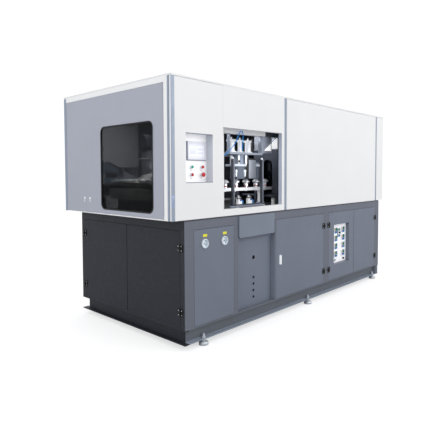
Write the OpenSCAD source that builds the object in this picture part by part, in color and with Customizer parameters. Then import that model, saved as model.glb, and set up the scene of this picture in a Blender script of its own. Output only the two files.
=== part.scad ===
/* [Base and feet] */
// Length of the lower cabinet and of the base under it
cab_l = 3500; // [3300:10:3700]
// Depth of the lower cabinet and of the base under it
cab_w = 1525; // [1450:5:1600]
// Height of the base channel
base_h = 120; // [100:2:160]
// Width of the channel's flange, outside its web
flange_w = 45; // [36:1:60]
// Thickness of the channel's flange and web
channel_t = 7; // [5:1:10]
// Width of the cross members in the base
cross_w = 60; // [40:2:100]
// Gap between the floor and the base channel
foot_gap = 50; // [40:1:80]
// Diameter of a foot's round pad
foot_d = 80; // [60:2:100]
// Height of a foot's round pad
foot_pad_h = 30; // [20:1:34]
// Diameter of a foot's stud
stud_d = 20; // [12:1:26]
// Clearance round a stud in its flange
stud_clear = 1; // [0.5:0.25:2]
// Distance of the outer feet from the left end
foot_in_left = 225; // [120:5:300]
// Distance of the outer feet from the right end
foot_in_right = 130; // [110:5:300]

/* [Lower cabinet] */
// Height of the lower cabinet above its base
cab_h = 856; // [820:2:900]
// Depth of the cabinet's face frame
face_t = 40; // [30:1:60]
// Height of the face frame's top rail
top_rail_h = 71; // [60:1:90]
// Height of the face frame's bottom rail
bottom_rail_h = 6; // [5:1:20]
// Width of the face frame's left stile
stile_left_w = 100; // [80:1:120]
// Width of the gauge panel's place
gauge_bay_w = 480; // [460:2:520]
// Width of the stile beside the gauge panel
stile_gauge_w = 53; // [40:1:70]
// Width of the recessed port bay
port_bay_w = 539; // [520:1:560]
// Width of the thin stile beside the port bay
stile_port_w = 20; // [18:1:30]
// Width of the service door's place
service_w = 891; // [840:1:920]
// Width of the stile between the service door and the meter door
stile_mid_w = 107; // [96:1:120]
// Width of the meter door's place
meter_w = 605; // [560:1:640]
// Width of the right door's place
right_w = 591; // [540:1:620]
// Width of the left end's front stile
end_stile_w = 50; // [44:1:60]
// Depth of a folded door or panel
pan_t = 20; // [16:1:24]
// Thickness of sheet metal
sheet_t = 2; // [1.5:0.5:3]
// Seam round a door or panel
seam = 3; // [2:0.5:4]
// Depth of the port bay's recess
port_recess = 48; // [42:1:60]
// Depth that the chute cover stands proud of the cabinet
cover_out = 12; // [8:1:20]
// Width of the chute cover
cover_w = 515; // [480:1:530]
// Height of the chute cover
cover_h = 190; // [150:2:220]
// Cut corner at the foot of the chute cover
cover_cut = 12; // [6:1:50]
// Thickness of the machine bed
bed_t = 13; // [10:1:20]

/* [Hinges and handle] */
// Height of a hinge
hinge_h = 58; // [50:1:90]
// Width of one hinge leaf
hinge_w = 28; // [24:1:38]
// Thickness of a hinge leaf
hinge_t = 5; // [4:1:7]
// Diameter of a hinge pin
hinge_pin_d = 6; // [5:0.5:8]
// Outer diameter of a hinge knuckle
knuckle_d = 14; // [12:0.5:16]
// Running clearance of the pins and shafts
run_clear = 0.05; // [0.03:0.01:0.09]
// Height of the upper hinges over the cabinet's foot
hinge_up = 646; // [600:2:700]
// Height of the lower hinges over the cabinet's foot
hinge_low = 138; // [100:2:200]
// Width of the door handle's body
handle_w = 20; // [18:1:40]
// Depth of the door handle in front of its door
handle_out = 18; // [14:1:24]
// Height of the door handle's body
handle_h = 90; // [80:1:120]
// Height of the handle's centre over the cabinet's foot
handle_up = 386; // [350:2:450]
// Distance of the handle's centre from the door's free edge
handle_in = 62; // [50:1:80]

/* [Gauges and ports] */
// Diameter of a pressure gauge
gauge_d = 76; // [60:1:100]
// Depth of a gauge in front of its panel
gauge_t = 12; // [10:1:20]
// Depth of a gauge behind its panel
gauge_body = 40; // [30:1:60]
// Distance of the first gauge from the panel's left edge
gauge_in = 122; // [100:1:150]
// Distance between the two gauges
gauge_gap = 234; // [200:1:260]
// Height of the gauges over the cabinet's foot
gauge_up = 664; // [600:1:700]
// Bore of the main port's grommet
port_bore = 26; // [20:1:30]
// Bore of a small port's grommet
small_bore = 15; // [10:0.5:18]
// Rim width of a grommet
grommet_rim = 4; // [3:0.5:6]
// Height of the main port over the cabinet's foot
port_up = 453; // [420:1:500]
// Height of the lowest small port over the cabinet's foot
small_up = 84; // [70:1:110]
// Distance between the small ports
small_pitch = 61; // [50:1:66]

/* [Meter recess] */
// Width of the recess in the meter door
recess_w = 362; // [340:1:390]
// Height of the recess in the meter door
recess_h = 460; // [420:1:480]
// Depth of the recess in the meter door
recess_t = 46; // [40:1:60]
// Distance of the recess from the meter door's left edge
recess_in = 120; // [100:1:150]
// Height of the recess over the cabinet's foot
recess_up = 176; // [140:1:200]
// Side of a meter module
meter_s = 62; // [56:1:66]
// Distance between the meter rows
meter_pitch = 92; // [84:1:98]

/* [Upper enclosure] */
// Height of the upper enclosure
enc_h = 1110; // [1060:5:1200]
// Overhang of the enclosure past the cabinet's left end
over_left = 125; // [90:1:150]
// Overhang of the enclosure past the cabinet's right end
over_right = 110; // [80:1:140]
// Overhang of the enclosure past the cabinet's back
over_back = 88; // [60:1:120]
// Side of the frame tubes behind the enclosure's panels
tube_s = 25; // [20:1:36]
// Depth of the enclosure's panels
skin_t = 15; // [12:1:20]
// Width of the aluminium corner post
post_w = 44; // [36:1:50]
// Left edge of the front opening
open_x = 444; // [430:1:470]
// Width of the front opening
open_w = 840; // [780:2:860]
// Height of the sill under the front opening
sill_h = 56; // [48:1:70]
// Height of the front opening
open_h = 693; // [640:1:700]
// Width of the post at the right of the opening
jamb_w = 41; // [34:1:50]
// Width of the grey strip beside that post
strip_w = 42; // [30:1:50]
// Distance of the right strip from the right end
end_cover_w = 191; // [160:1:220]
// Width of the right strip
right_strip_w = 36; // [30:1:46]

/* [Controls] */
// Left edge of the control recess
ctl_x = 21; // [10:1:30]
// Width of the control recess
ctl_w = 299; // [286:1:310]
// Height of the control recess over the enclosure's foot
ctl_up = 287; // [260:1:310]
// Height of the control recess
ctl_h = 391; // [380:1:410]
// Depth of the control recess
ctl_t = 78; // [66:1:90]
// Width of the touch screen's housing
screen_w = 210; // [190:1:216]
// Height of the touch screen's housing
screen_h = 154; // [140:1:160]
// Depth of the touch screen's housing in front of its panel
screen_t = 10; // [8:1:16]
// Diameter of a push button's cap
button_d = 23; // [18:1:26]
// Diameter of the emergency button's head
stop_d = 38; // [30:1:44]
// Travel of a push button
button_travel = 4; // [3:0.5:6]
// Distance between the two columns of buttons
button_dx = 114; // [90:1:130]
// Distance between the two rows of buttons
button_dz = 62; // [56:1:70]

/* [Guard door] */
// Width of the white post in front of the guard door
guard_post_w = 41; // [30:1:50]
// Height of the lip under the guard door
guard_lip = 10; // [8:1:20]
// Distance of the window from the guard door's front edge
window_in = 124; // [90:1:150]
// Width of the window
window_w = 748; // [700:2:780]
// Height of the window
window_h = 732; // [680:2:760]
// Height of the window over the guard door's foot
window_up = 34; // [24:1:60]
// Corner radius of the window
window_r = 55; // [40:1:70]
// Width of the window's seal
seal_w = 12; // [8:1:18]
// Depth that the seal stands proud of the guard door
seal_out = 1; // [0.5:0.5:2]

/* [Blowing station] */
// Distance between the mandrels
pitch = 150; // [140:1:156]
// Number of mould cavities
cavities = 4; // [3:1:4]
// Number of mandrels on the rail
mandrel_n = 18; // [17:1:18]
// Distance of the first mandrel from the cabinet's left end
mandrel_x = 725; // [710:1:740]
// Distance of the mandrel row from the front
row_y = 240; // [236:1:260]
// Height of the rail's top over the bed
rail_up = 225; // [215:1:230]
// Height of the conveyor rail
rail_h = 28; // [20:1:30]
// Width of the slot in the rail
rail_slot = 22; // [21:0.5:26]
// Width of one side of the rail
rail_side = 14; // [10:1:18]
// Thickness of one mould half
mould_t = 80; // [70:1:90]
// Height of the mould
mould_h = 278; // [270:1:300]
// Diameter of the bottle's body in the mould
bottle_d = 108; // [90:1:116]
// Height of the bottle's body in the mould
bottle_h = 180; // [150:1:200]
// Travel of each mould half
mould_travel = 60; // [55:1:62]
// Thickness of a platen
platen_t = 45; // [36:1:46]
// Travel of the stretch rods
stretch_travel = 190; // [120:5:200]
// Diameter of a stretch rod
stretch_d = 12; // [8:0.5:12]
// Travel of the transfer head
transfer_travel = 110; // [60:5:120]
// Thickness of the transfer bridge's plate
bridge_t = 18; // [12:1:24]

/* [Hidden] */
$fn = 48;

// Heights over the floor
base_z = foot_gap;
cab_z = base_z + base_h;
cab_top = cab_z + cab_h;
enc_z = cab_top + bed_t;
enc_top = enc_z + enc_h;
bay_z = cab_z + bottom_rail_h;
bay_top = cab_top - top_rail_h;
sill_top = enc_z + sill_h;
open_top = sill_top + open_h;
rail_z = enc_z + rail_up;
mould_z = rail_z + 80;

// Edges of the bays along the front, from the cabinet's left end
gauge_x = stile_left_w;
port_x = gauge_x + gauge_bay_w + stile_gauge_w;
service_x = port_x + port_bay_w + stile_port_w;
meter_x = service_x + service_w + stile_mid_w;
right_x = meter_x + meter_w;
right_end = right_x + right_w;

// Edges of the enclosure
enc_x0 = -over_left;
enc_x1 = cab_l + over_right;
enc_y1 = cab_w + over_back;
open_x1 = open_x + open_w;
strip_x = open_x1 + jamb_w;
cover_x0 = strip_x + strip_w;
right_strip_x = enc_x1 - end_cover_w - right_strip_w;
wall_t = skin_t + tube_s;

// The row's origin is the middle of the whole machine's footprint
front_y = min(-cover_out, -gauge_t, -handle_out, flange_w / 2 - foot_d / 2);
mid_x = (enc_x0 - seal_out + enc_x1) / 2;
mid_y = (front_y + enc_y1) / 2;

// Hinge geometry, with the pin just outside the door's edge
pin_out = knuckle_d / 2 + 1;
hinge_zs = [cab_z + hinge_low - hinge_h / 2, cab_z + hinge_up - hinge_h / 2];
end_hinge_y0 = end_stile_w;
end_hinge_y1 = cab_w - 55;
end_seam_y = (end_hinge_y0 + end_hinge_y1) / 2;

// Blowing station
cavity_x = mandrel_x + 5 * pitch;
mould_x0 = cavity_x - pitch / 2;
mould_x1 = mould_x0 + cavities * pitch;
front_mould_y = row_y - mould_travel - mould_t;
rear_mould_y = row_y + mould_travel;
front_platen_y = front_mould_y - platen_t;
rear_platen_y = rear_mould_y + mould_t;
back_plate_y = rear_platen_y + platen_t + 210;
back_plate_t = 40;
guide_z = enc_z + 50;
tie_z = enc_z + 130;
tie_d = 36;
platen_top = mould_z + mould_h + 20;
station_x0 = mandrel_x - 225;
station_x1 = mould_x1 + 60;
beam_z = open_top - 32;
beam_h = 100;
beam_y = 100;
beam_w = 60;
bridge_z = mould_z + 231;
portal_x0 = mandrel_x - 75;
portal_x1 = mandrel_x + 365;
head_x = mandrel_x + 91;
head_w = 153;
cylinder_y = beam_y + beam_w + 60;
cylinder_h = 143;
tube_d = 10;
fitting_d = 14;
fitting_h = 8;
tube_start = [station_x0 + beam_w + fitting_h - mandrel_x, -95, -15];
tube_foot = [135, -47];
bridge_reach = 290;
slide_w = 20;
slide_h = 14;
slide_gap = 0.3;
oven_x0 = mould_x1 + pitch;
oven_x1 = 3300;

// Moves a shape from the cabinet's corner to the row's origin
module place() {
    translate([-mid_x, -mid_y, 0])
        children();
}

// A block between two corners, each given as [low, high]
module block(x, y, z) {
    translate([x[0], y[0], z[0]])
        cube([x[1] - x[0], y[1] - y[0], z[1] - z[0]]);
}

// A round bar along X, Y or Z from a point
module bar_x(at, d, len) {
    translate(at)
        rotate([0, 90, 0])
            cylinder(d = d, h = len);
}
module bar_y(at, d, len) {
    translate(at)
        rotate([-90, 0, 0])
            cylinder(d = d, h = len);
}
module bar_z(at, d, len) {
    translate(at)
        cylinder(d = d, h = len);
}

// A folded front panel, open to the back, with a seam all round
module front_pan(x, z, y = 0, depth = pan_t) {
    difference() {
        block([x[0] + seam, x[1] - seam], [y, y + depth], [z[0] + seam, z[1] - seam]);
        block([x[0] + seam + sheet_t, x[1] - seam - sheet_t], [y + sheet_t, y + depth + 1],
            [z[0] + seam + sheet_t, z[1] - seam - sheet_t]);
    }
}

// A folded panel on the left end, open to the inside
module end_pan(y, z, x = 0, depth = pan_t) {
    difference() {
        block([x, x + depth], [y[0] + seam, y[1] - seam], [z[0] + seam, z[1] - seam]);
        block([x + sheet_t, x + depth + 1], [y[0] + seam + sheet_t, y[1] - seam - sheet_t],
            [z[0] + seam + sheet_t, z[1] - seam - sheet_t]);
    }
}

// One leaf of a front hinge: side is 1 for a leaf to the right of the pin
module hinge_leaf(side, part) {
    knuckle = hinge_h / 3;
    low = part == "frame" ? [0, 2 * knuckle] : [knuckle];
    difference() {
        union() {
            block(side > 0 ? [knuckle_d / 2 + 0.5, hinge_w] : [-hinge_w, -knuckle_d / 2 - 0.5],
                [pin_out - hinge_t, pin_out], [0, hinge_h]);
            for (z = low)
                bar_z([0, 0, z + 0.2], knuckle_d, knuckle - 0.4);
            for (z = low)
                block(side > 0 ? [0, hinge_w] : [-hinge_w, 0], [pin_out - hinge_t, knuckle_d / 2],
                    [z + 0.2, z + knuckle - 0.2]);
        }
        if (part == "door")
            bar_z([0, 0, -1], hinge_pin_d + 2 * run_clear, hinge_h + 2);
    }
    if (part == "frame")
        bar_z([0, 0, 0.2], hinge_pin_d, hinge_h - 0.4);
}

// The leaves on one door edge of the front, at both heights
module front_leaves(x, side, part) {
    for (z = hinge_zs)
        translate([x, -pin_out, z])
            hinge_leaf(side, part);
}

// The leaves on one door edge of the left end, at both heights
module end_leaves(y, side, part) {
    for (z = hinge_zs)
        translate([-pin_out, y, z])
            rotate([0, 0, -90])
                hinge_leaf(side, part);
}

// A plate on the left end with round corners, between x[0] and x[1]
module round_plate(x, y, z, r) {
    block(x, [y[0] + r, y[1] - r], z);
    block(x, y, [z[0] + r, z[1] - r]);
    for (cy = [y[0] + r, y[1] - r], cz = [z[0] + r, z[1] - r])
        bar_x([x[0], cy, cz], 2 * r, x[1] - x[0]);
}

foot_xs = [foot_in_left, (foot_in_left + cab_l - foot_in_right) / 2, cab_l - foot_in_right];
foot_ys = [flange_w / 2, cab_w - flange_w / 2];

// Mitred channel ring with its flanges pointing outward, and welded cross members
module base_frame() {
    web = flange_w + channel_t;
    color("#5c5f6a")
        place() {
            difference() {
                union() {
                    for (z = [base_z, cab_z - channel_t])
                        block([0, cab_l], [0, cab_w], [z, z + channel_t]);
                    block([flange_w, cab_l - flange_w], [flange_w, cab_w - flange_w], [base_z, cab_z]);
                }
                block([web, cab_l - web], [web, cab_w - web], [base_z - 1, cab_z + 1]);
                for (x = foot_xs, y = foot_ys)
                    bar_z([x, y, base_z - 1], stud_d + 2 * stud_clear, channel_t + 2);
            }
            for (i = [1:3])
                translate([web + i * (cab_l - 2 * web) / 4 - cross_w / 2, web - 1, base_z])
                    cube([cross_w, cab_w - 2 * web + 2, base_h]);
        }
}

// Round pad, hex nuts and stud of each levelling foot
module levelling_feet() {
    nut_h = 14;
    color("#c8ccd0")
        place()
            for (x = foot_xs, y = foot_ys)
                translate([x, y, 0])
                    union() {
                        rotate_extrude()
                            polygon([[0, 0], [foot_d / 2, 0], [foot_d / 2, foot_pad_h * 0.65],
                                [foot_d / 2 - 5, foot_pad_h * 0.9], [stud_d, foot_pad_h], [0, foot_pad_h]]);
                        cylinder(d = stud_d, h = foot_gap + channel_t + 36);
                        translate([0, 0, foot_gap - nut_h])
                            cylinder(d = stud_d * 1.7, h = nut_h, $fn = 6);
                        translate([0, 0, foot_gap + channel_t])
                            cylinder(d = stud_d * 1.7, h = nut_h, $fn = 6);
                    }
}

// Folded lip behind a fixed panel of the face frame
module panel_lip(x) {
    lip_w = 15;
    difference() {
        block(x, [pan_t, pan_t + 5], [bay_z, bay_top]);
        block([x[0] + lip_w, x[1] - lip_w], [pan_t - 1, pan_t + 6], [bay_z + lip_w, bay_top - lip_w]);
    }
}

// Welded cabinet frame: face frames, posts and partitions
module cabinet_frame() {
    stiles = [[0, gauge_x], [gauge_x + gauge_bay_w, port_x], [port_x + port_bay_w, service_x],
        [service_x + service_w, meter_x], [right_end, cab_l]];
    color("#6a6d79")
        place()
            difference() {
                union() {
                    block([0, cab_l], [0, face_t], [bay_top, cab_top]);
                    panel_lip([gauge_x, gauge_x + gauge_bay_w]);
                    for (s = stiles)
                        block(s, [0, face_t], [bay_z, cab_top]);
                    block([0, face_t], [0, end_hinge_y0], [bay_z, cab_top]);
                    block([0, face_t], [end_hinge_y1, cab_w - sheet_t], [bay_z, cab_top]);
                    block([0, face_t], [0, cab_w - sheet_t], [bay_top, cab_top]);
                    for (x = [face_t, cab_l - 2 * face_t])
                        block([x, x + face_t], [cab_w - sheet_t - face_t, cab_w - sheet_t], [bay_z,
                            cab_top]);
                    block([0, cab_l - sheet_t], [cab_w - sheet_t - face_t, cab_w - sheet_t], [bay_top,
                        cab_top]);
                    block([cab_l - sheet_t - face_t, cab_l - sheet_t], [0, cab_w - sheet_t], [bay_top,
                        cab_top]);
                    for (x = [port_x + port_bay_w, service_x + service_w + stile_mid_w / 2])
                        block([x, x + sheet_t], [0, cab_w - sheet_t], [bay_z, cab_top]);
                }
                block([service_x - pawl_reach - 4, service_x + 1], [pan_t - 1, pan_t + 6],
                    [handle_z - pawl_w / 2 - 3, handle_z + handle_in + pawl_reach]);
            }
}

// Sheets at the cabinet's back and right end, and its floor plate
module cabinet_panels() {
    edges = [0, cab_l / 3, 2 * cab_l / 3, cab_l - sheet_t];
    color("#6a6d79")
        place() {
            for (i = [0:2])
                block([edges[i] + 1, edges[i + 1] - 1], [cab_w - sheet_t, cab_w], [cab_z + 1, cab_top - 1]);
            block([cab_l - sheet_t, cab_l], [face_t + 1, cab_w], [cab_z + 1, cab_top - 1]);
            block([0, cab_l - sheet_t - 0.3], [0, cab_w - sheet_t - 0.3], [cab_z, bay_z]);
        }
}

gauge_xs = [gauge_x + gauge_in, gauge_x + gauge_in + gauge_gap];
gauge_z = cab_z + gauge_up;
gauge_rim = 5;
gauge_floor = 8;
lens_in = 2;
lens_t = 2;
spindle_d = 3;

// Fixed panel with the two gauge holes
module gauge_panel() {
    color("#737885")
        place()
            difference() {
                front_pan([gauge_x, gauge_x + gauge_bay_w], [bay_z, bay_top]);
                for (x = gauge_xs)
                    bar_y([x, -1, gauge_z], gauge_d - 2 * gauge_rim + 1, pan_t);
            }
}

small_zs = [for (i = [0:3]) cab_z + small_up + i * small_pitch];
port_mid = port_x + port_bay_w / 2;

// Recessed sheet between the stiles, with its hose ports
module port_panel() {
    color("#737885")
        place()
            difference() {
                union() {
                    block([port_x + 0.5, port_x + port_bay_w - 0.5],
                        [port_recess, port_recess + sheet_t], [bay_z, bay_top]);
                    block([port_x + 0.5, port_x + 0.5 + sheet_t], [face_t, port_recess + sheet_t],
                        [bay_z, bay_top]);
                }
                bar_y([port_mid, port_recess - 1, cab_z + port_up], port_bore + 2 * grommet_rim - 2,
                    sheet_t + 2);
                for (z = small_zs)
                    bar_y([port_mid, port_recess - 1, z], small_bore + 2 * grommet_rim - 2, sheet_t + 2);
            }
}

// One grommet, seated in the recessed sheet with a rim on each side
module grommet(bore) {
    lip = 3;
    rotate([-90, 0, 0])
        rotate_extrude()
            polygon([[bore / 2, -lip], [bore / 2 + grommet_rim, -lip], [bore / 2 + grommet_rim, 0],
                [bore / 2 + grommet_rim - 1.2, 0], [bore / 2 + grommet_rim - 1.2, sheet_t],
                [bore / 2 + grommet_rim, sheet_t], [bore / 2 + grommet_rim, sheet_t + lip],
                [bore / 2, sheet_t + lip]]);
}

// Rubber grommets of the main port and the four small ports
module port_grommets() {
    color("#111111")
        place() {
            translate([port_mid, port_recess, cab_z + port_up])
                grommet(port_bore);
            for (z = small_zs)
                translate([port_mid, port_recess, z])
                    grommet(small_bore);
        }
}

// Folded cover over the chute, with cut lower corners
module chute_cover() {
    w = cover_w;
    h = cover_h;
    c = cover_cut;
    color("#7f8591")
        place()
            translate([port_x + 3, port_recess, cab_top - 3])
                rotate([90, 0, 0])
                    difference() {
                        linear_extrude(height = port_recess + cover_out)
                            polygon([[0, 0], [w, 0], [w, -h + c], [w - c, -h], [c, -h], [0, -h + c]]);
                        translate([0, 0, -1])
                            linear_extrude(height = port_recess + cover_out - sheet_t + 1)
                                polygon([[sheet_t, -sheet_t], [w - sheet_t, -sheet_t],
                                    [w - sheet_t, -h + c + sheet_t], [w - c - sheet_t, -h + sheet_t],
                                    [c + sheet_t, -h + sheet_t], [sheet_t, -h + c + sheet_t]]);
                        translate([-1, -top_rail_h, -1])
                            cube([w + 2, top_rail_h + 4, port_recess + 1]);
                    }
}

// Bed plate between the cabinet and the enclosure
module machine_bed() {
    color("#3c3f47")
        place()
            difference() {
                block([0, cab_l], [4, cab_w], [cab_top, enc_z]);
                for (x = stretch_xs)
                    bar_z([x, row_y, cab_top - 1], lift_d + 1, bed_t + 2);
            }
}

// Fixed leaves and pins of all the cabinet's hinges
module frame_hinge_leaves() {
    color("#101012")
        place() {
            front_leaves(service_x + service_w, 1, "frame");
            front_leaves(meter_x, -1, "frame");
            front_leaves(right_end, 1, "frame");
            end_leaves(end_hinge_y0, 1, "frame");
            end_leaves(end_hinge_y1, -1, "frame");
        }
}

// Panel-mounted gauge cases: bezel in front, body behind, spindle on the dial
module gauge_cases() {
    bezel = gauge_d / 2;
    bore = bezel - gauge_rim - 1;
    color("#c8ccd0")
        place()
            for (x = gauge_xs)
                translate([x, 0, gauge_z])
                    rotate([90, 0, 0])
                        union() {
                            rotate_extrude()
                                polygon([[0, -gauge_body], [bezel - gauge_rim, -gauge_body],
                                    [bezel - gauge_rim, 0], [bezel, 0], [bezel, gauge_t - 3],
                                    [bezel - 3, gauge_t], [bore, gauge_t], [bore,
                                        gauge_t - lens_in - lens_t],
                                    [bore - 1, gauge_t - lens_in - lens_t], [bore - 1, -gauge_floor],
                                    [0, -gauge_floor]]);
                            translate([0, 0, -gauge_floor - 1])
                                cylinder(d = spindle_d, h = gauge_floor + 3);
                        }
}

// Glass discs in the gauges' bezels
module gauge_lenses() {
    color("#dfe8ee", 0.4)
        place()
            for (x = gauge_xs)
                bar_y([x, lens_in - gauge_t, gauge_z], gauge_d - 2 * gauge_rim - 2.6, lens_t);
}

// Pointer of one gauge, turning on the case's spindle
module pointer(x) {
    color("#151515")
        place()
            translate([x, 1, gauge_z])
                rotate([90, 0, 0])
                    difference() {
                        union() {
                            cylinder(d = 9, h = 2);
                            rotate([0, 0, 225])
                                translate([-0.8, -9, 0])
                                    cube([1.6, gauge_d / 2 - 2, 1.2]);
                        }
                        translate([0, 0, -1])
                            cylinder(d = spindle_d + 2 * run_clear, h = 4);
                    }
}
module left_pointer() {
    pointer(gauge_xs[0]);
}
module right_pointer() {
    pointer(gauge_xs[1]);
}

units_y = 420;
units_in = 60;
duct_h = 40;
duct_pitch = 180;
breaker_w = 48;
breaker_pitch = 54;
drive_w = 150;
drive_pitch = 190;
relay_w = 90;
relay_pitch = 110;

// Mounting plate behind the right doors, with rails, breakers, drive units and wiring ducts
module electrical_plate() {
    y = units_y;
    x0 = meter_x + units_in;
    x1 = right_end - units_in;
    left = x0 + units_in;
    color("#c9c7bd")
        place() {
            block([x0, x1], [y, y + 3], [bay_z + 40, bay_top - 20]);
            for (x = [x0 + 20, x1 - 50])
                block([x, x + 30], [y + 3, y + 33], [bay_z, bay_top - 40]);
            for (z = [bay_z + 60:duct_pitch:bay_z + 60 + 3 * duct_pitch])
                block([x0 + duct_h, x1 - duct_h], [y - 60, y], [z, z + duct_h]);
            for (x = [left:breaker_pitch:left + 15 * breaker_pitch])
                block([x, x + breaker_w], [y - 70, y], [bay_z + 480, bay_z + 570]);
            for (x = [left + 10:drive_pitch:left + 10 + 4 * drive_pitch])
                block([x, x + drive_w], [y - 140, y], [bay_z + 292, bay_z + 410]);
            for (x = [left:relay_pitch:left + 7 * relay_pitch])
                block([x, x + relay_w], [y - 80, y], [bay_z + 120, bay_z + 210]);
        }
}

tank_d = 340;
tank_l = 640;
tank_in = 130;
tank_y = 620;

// Air receiver with its saddles and the valve block on top
module air_tank() {
    d = tank_d;
    len = tank_l;
    x = service_x + tank_in;
    y = tank_y;
    z = bay_z + tank_d / 2 + 80;
    color("#3d6fa5")
        place() {
            translate([x, y, z])
                rotate([0, 90, 0])
                    rotate_extrude()
                        polygon([[0, -60], [60, -54], [110, -36], [150, -10], [d / 2, 30],
                            [d / 2, len - 30], [150, len + 10], [110, len + 36], [60, len + 54], [0,
                                len + 60]]);
            for (dx = [110, len - 140])
                block([x + dx, x + dx + 30], [y - 120, y + 120], [bay_z, z - 110]);
            bar_z([x + len / 2, y, z + d / 2 - 4], 60, 50);
            block([x + len / 2 - 110, x + len / 2 + 110], [y - 45, y + 45], [z + d / 2 + 40,
                z + d / 2 + 110]);
        }
}

// Doors of the left end, with their hinge leaves
module end_door_front() {
    color("#33353d")
        place() {
            end_pan([end_hinge_y0, end_seam_y], [bay_z, bay_top]);
            end_leaves(end_hinge_y0, -1, "door");
        }
}
module end_door_rear() {
    color("#33353d")
        place() {
            end_pan([end_seam_y, end_hinge_y1], [bay_z, bay_top]);
            end_leaves(end_hinge_y1, 1, "door");
        }
}

handle_x = service_x + handle_in;
handle_z = cab_z + handle_up;
latch_d = 14;
pawl_w = 18;
pawl_reach = 8;

// Service door, hinged at its right, with a bore for the handle's shaft
module service_door() {
    color("#737885")
        place()
            difference() {
                union() {
                    front_pan([service_x, service_x + service_w], [bay_z, bay_top]);
                    front_leaves(service_x + service_w, -1, "door");
                    block([handle_x - 20, handle_x + 20], [sheet_t, pan_t], [handle_z - 30, handle_z + 30]);
                }
                bar_y([handle_x, -1, handle_z], latch_d + 2 * run_clear, pan_t + 2);
            }
}

// Turning handle: shaft through the door, grip outside, latch cam inside
module service_handle() {
    color("#e4e6ea")
        place() {
            bar_y([handle_x, -8, handle_z], latch_d, pan_t + 12);
            difference() {
                block([handle_x - handle_w / 2, handle_x + handle_w / 2], [-handle_out, -0.4],
                    [handle_z - handle_h / 2, handle_z + handle_h / 2]);
                for (s = [-1, 1])
                    translate([handle_x + s * handle_w / 2, -handle_out, handle_z - handle_h / 2 - 1])
                        rotate([0, 0, 45])
                            translate([-4, -4, 0])
                                cube([8, 8, handle_h + 2]);
            }
            block([handle_x - pawl_w / 2, handle_x + pawl_w / 2], [pan_t + 0.6, pan_t + 4.6],
                [handle_z - 12, handle_z + handle_in + pawl_reach]);
        }
}

meter_rx = [meter_x + recess_in, meter_x + recess_in + recess_w];
meter_rz = [cab_z + recess_up, cab_z + recess_up + recess_h];

// Door with the folded recess for the meters, hinged at its left
module meter_door() {
    color("#737885")
        place() {
            difference() {
                union() {
                    front_pan([meter_x, right_x], [bay_z, bay_top]);
                    block([meter_rx[0] - sheet_t, meter_rx[1] + sheet_t], [0.1, recess_t + sheet_t],
                        [meter_rz[0] - sheet_t, meter_rz[1] + sheet_t]);
                }
                block(meter_rx, [-1, recess_t], meter_rz);
            }
            front_leaves(meter_x, 1, "door");
        }
}

panel_t = 3;
panel_y = recess_t - panel_t;
column_xs = [meter_rx[0] + 71, meter_rx[0] + 245];
meter_z0 = meter_rz[0] + 76;
selector_at = [meter_rx[0] + 188, meter_rz[0] + 352];
heat_at = [meter_rx[0] + 290, meter_rz[0] + 34];
shaft_d = 8;

// White plate in the recess with eight meter modules and the switch plate
module meter_panel() {
    color("#e6e8ea")
        place()
            difference() {
                union() {
                    block([meter_rx[0] + 1, meter_rx[1] - 1], [panel_y, recess_t],
                        [meter_rz[0] + 1, meter_rz[1] - 1]);
                    for (x = column_xs, i = [0:3])
                        block([x, x + meter_s], [panel_y - 12, panel_y],
                            [meter_z0 + i * meter_pitch, meter_z0 + i * meter_pitch + meter_s]);
                    block([selector_at[0] - 21, selector_at[0] + 21], [panel_y - 6, panel_y],
                        [selector_at[1] - 48, selector_at[1] + 48]);
                }
                bar_y([selector_at[0], panel_y - 8, selector_at[1]], shaft_d + 2 * run_clear, 20);
                bar_y([heat_at[0], panel_y - 8, heat_at[1]], shaft_d + 2 * run_clear, 20);
            }
}

// A turning knob with a grip bar, seated on its shaft
module knob(at, d, seat) {
    place()
        translate([at[0], seat, at[1]])
            rotate([90, 0, 0])
                union() {
                    translate([0, 0, 0.4])
                        cylinder(d = d, h = 8);
                    translate([-d / 8, -d / 2, 8.4])
                        cube([d / 4, d, 10]);
                    translate([0, 0, seat - recess_t + 0.6])
                        cylinder(d = shaft_d, h = recess_t - seat);
                }
}
module selector_knob() {
    color("#151515")
        knob(selector_at, 24, panel_y - 6);
}
module heat_knob() {
    color("#151515")
        knob(heat_at, 22, panel_y);
}

// Plain right door, hinged at its right
module right_door() {
    color("#737885")
        place() {
            front_pan([right_x, right_end], [bay_z, bay_top]);
            front_leaves(right_end, -1, "door");
        }
}

guard_y0 = post_w + 2 + guard_post_w + 5;
guard_y1 = enc_y1 - post_w - 4;
guard_z0 = enc_z + guard_lip;
guard_z1 = enc_top - skin_t - tube_s - 20;
guard_t = skin_t - 1;
pivot_x = enc_x0 + guard_t / 2;
pivot_y = guard_y0 + 9;
pivot_d = 9;

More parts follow.
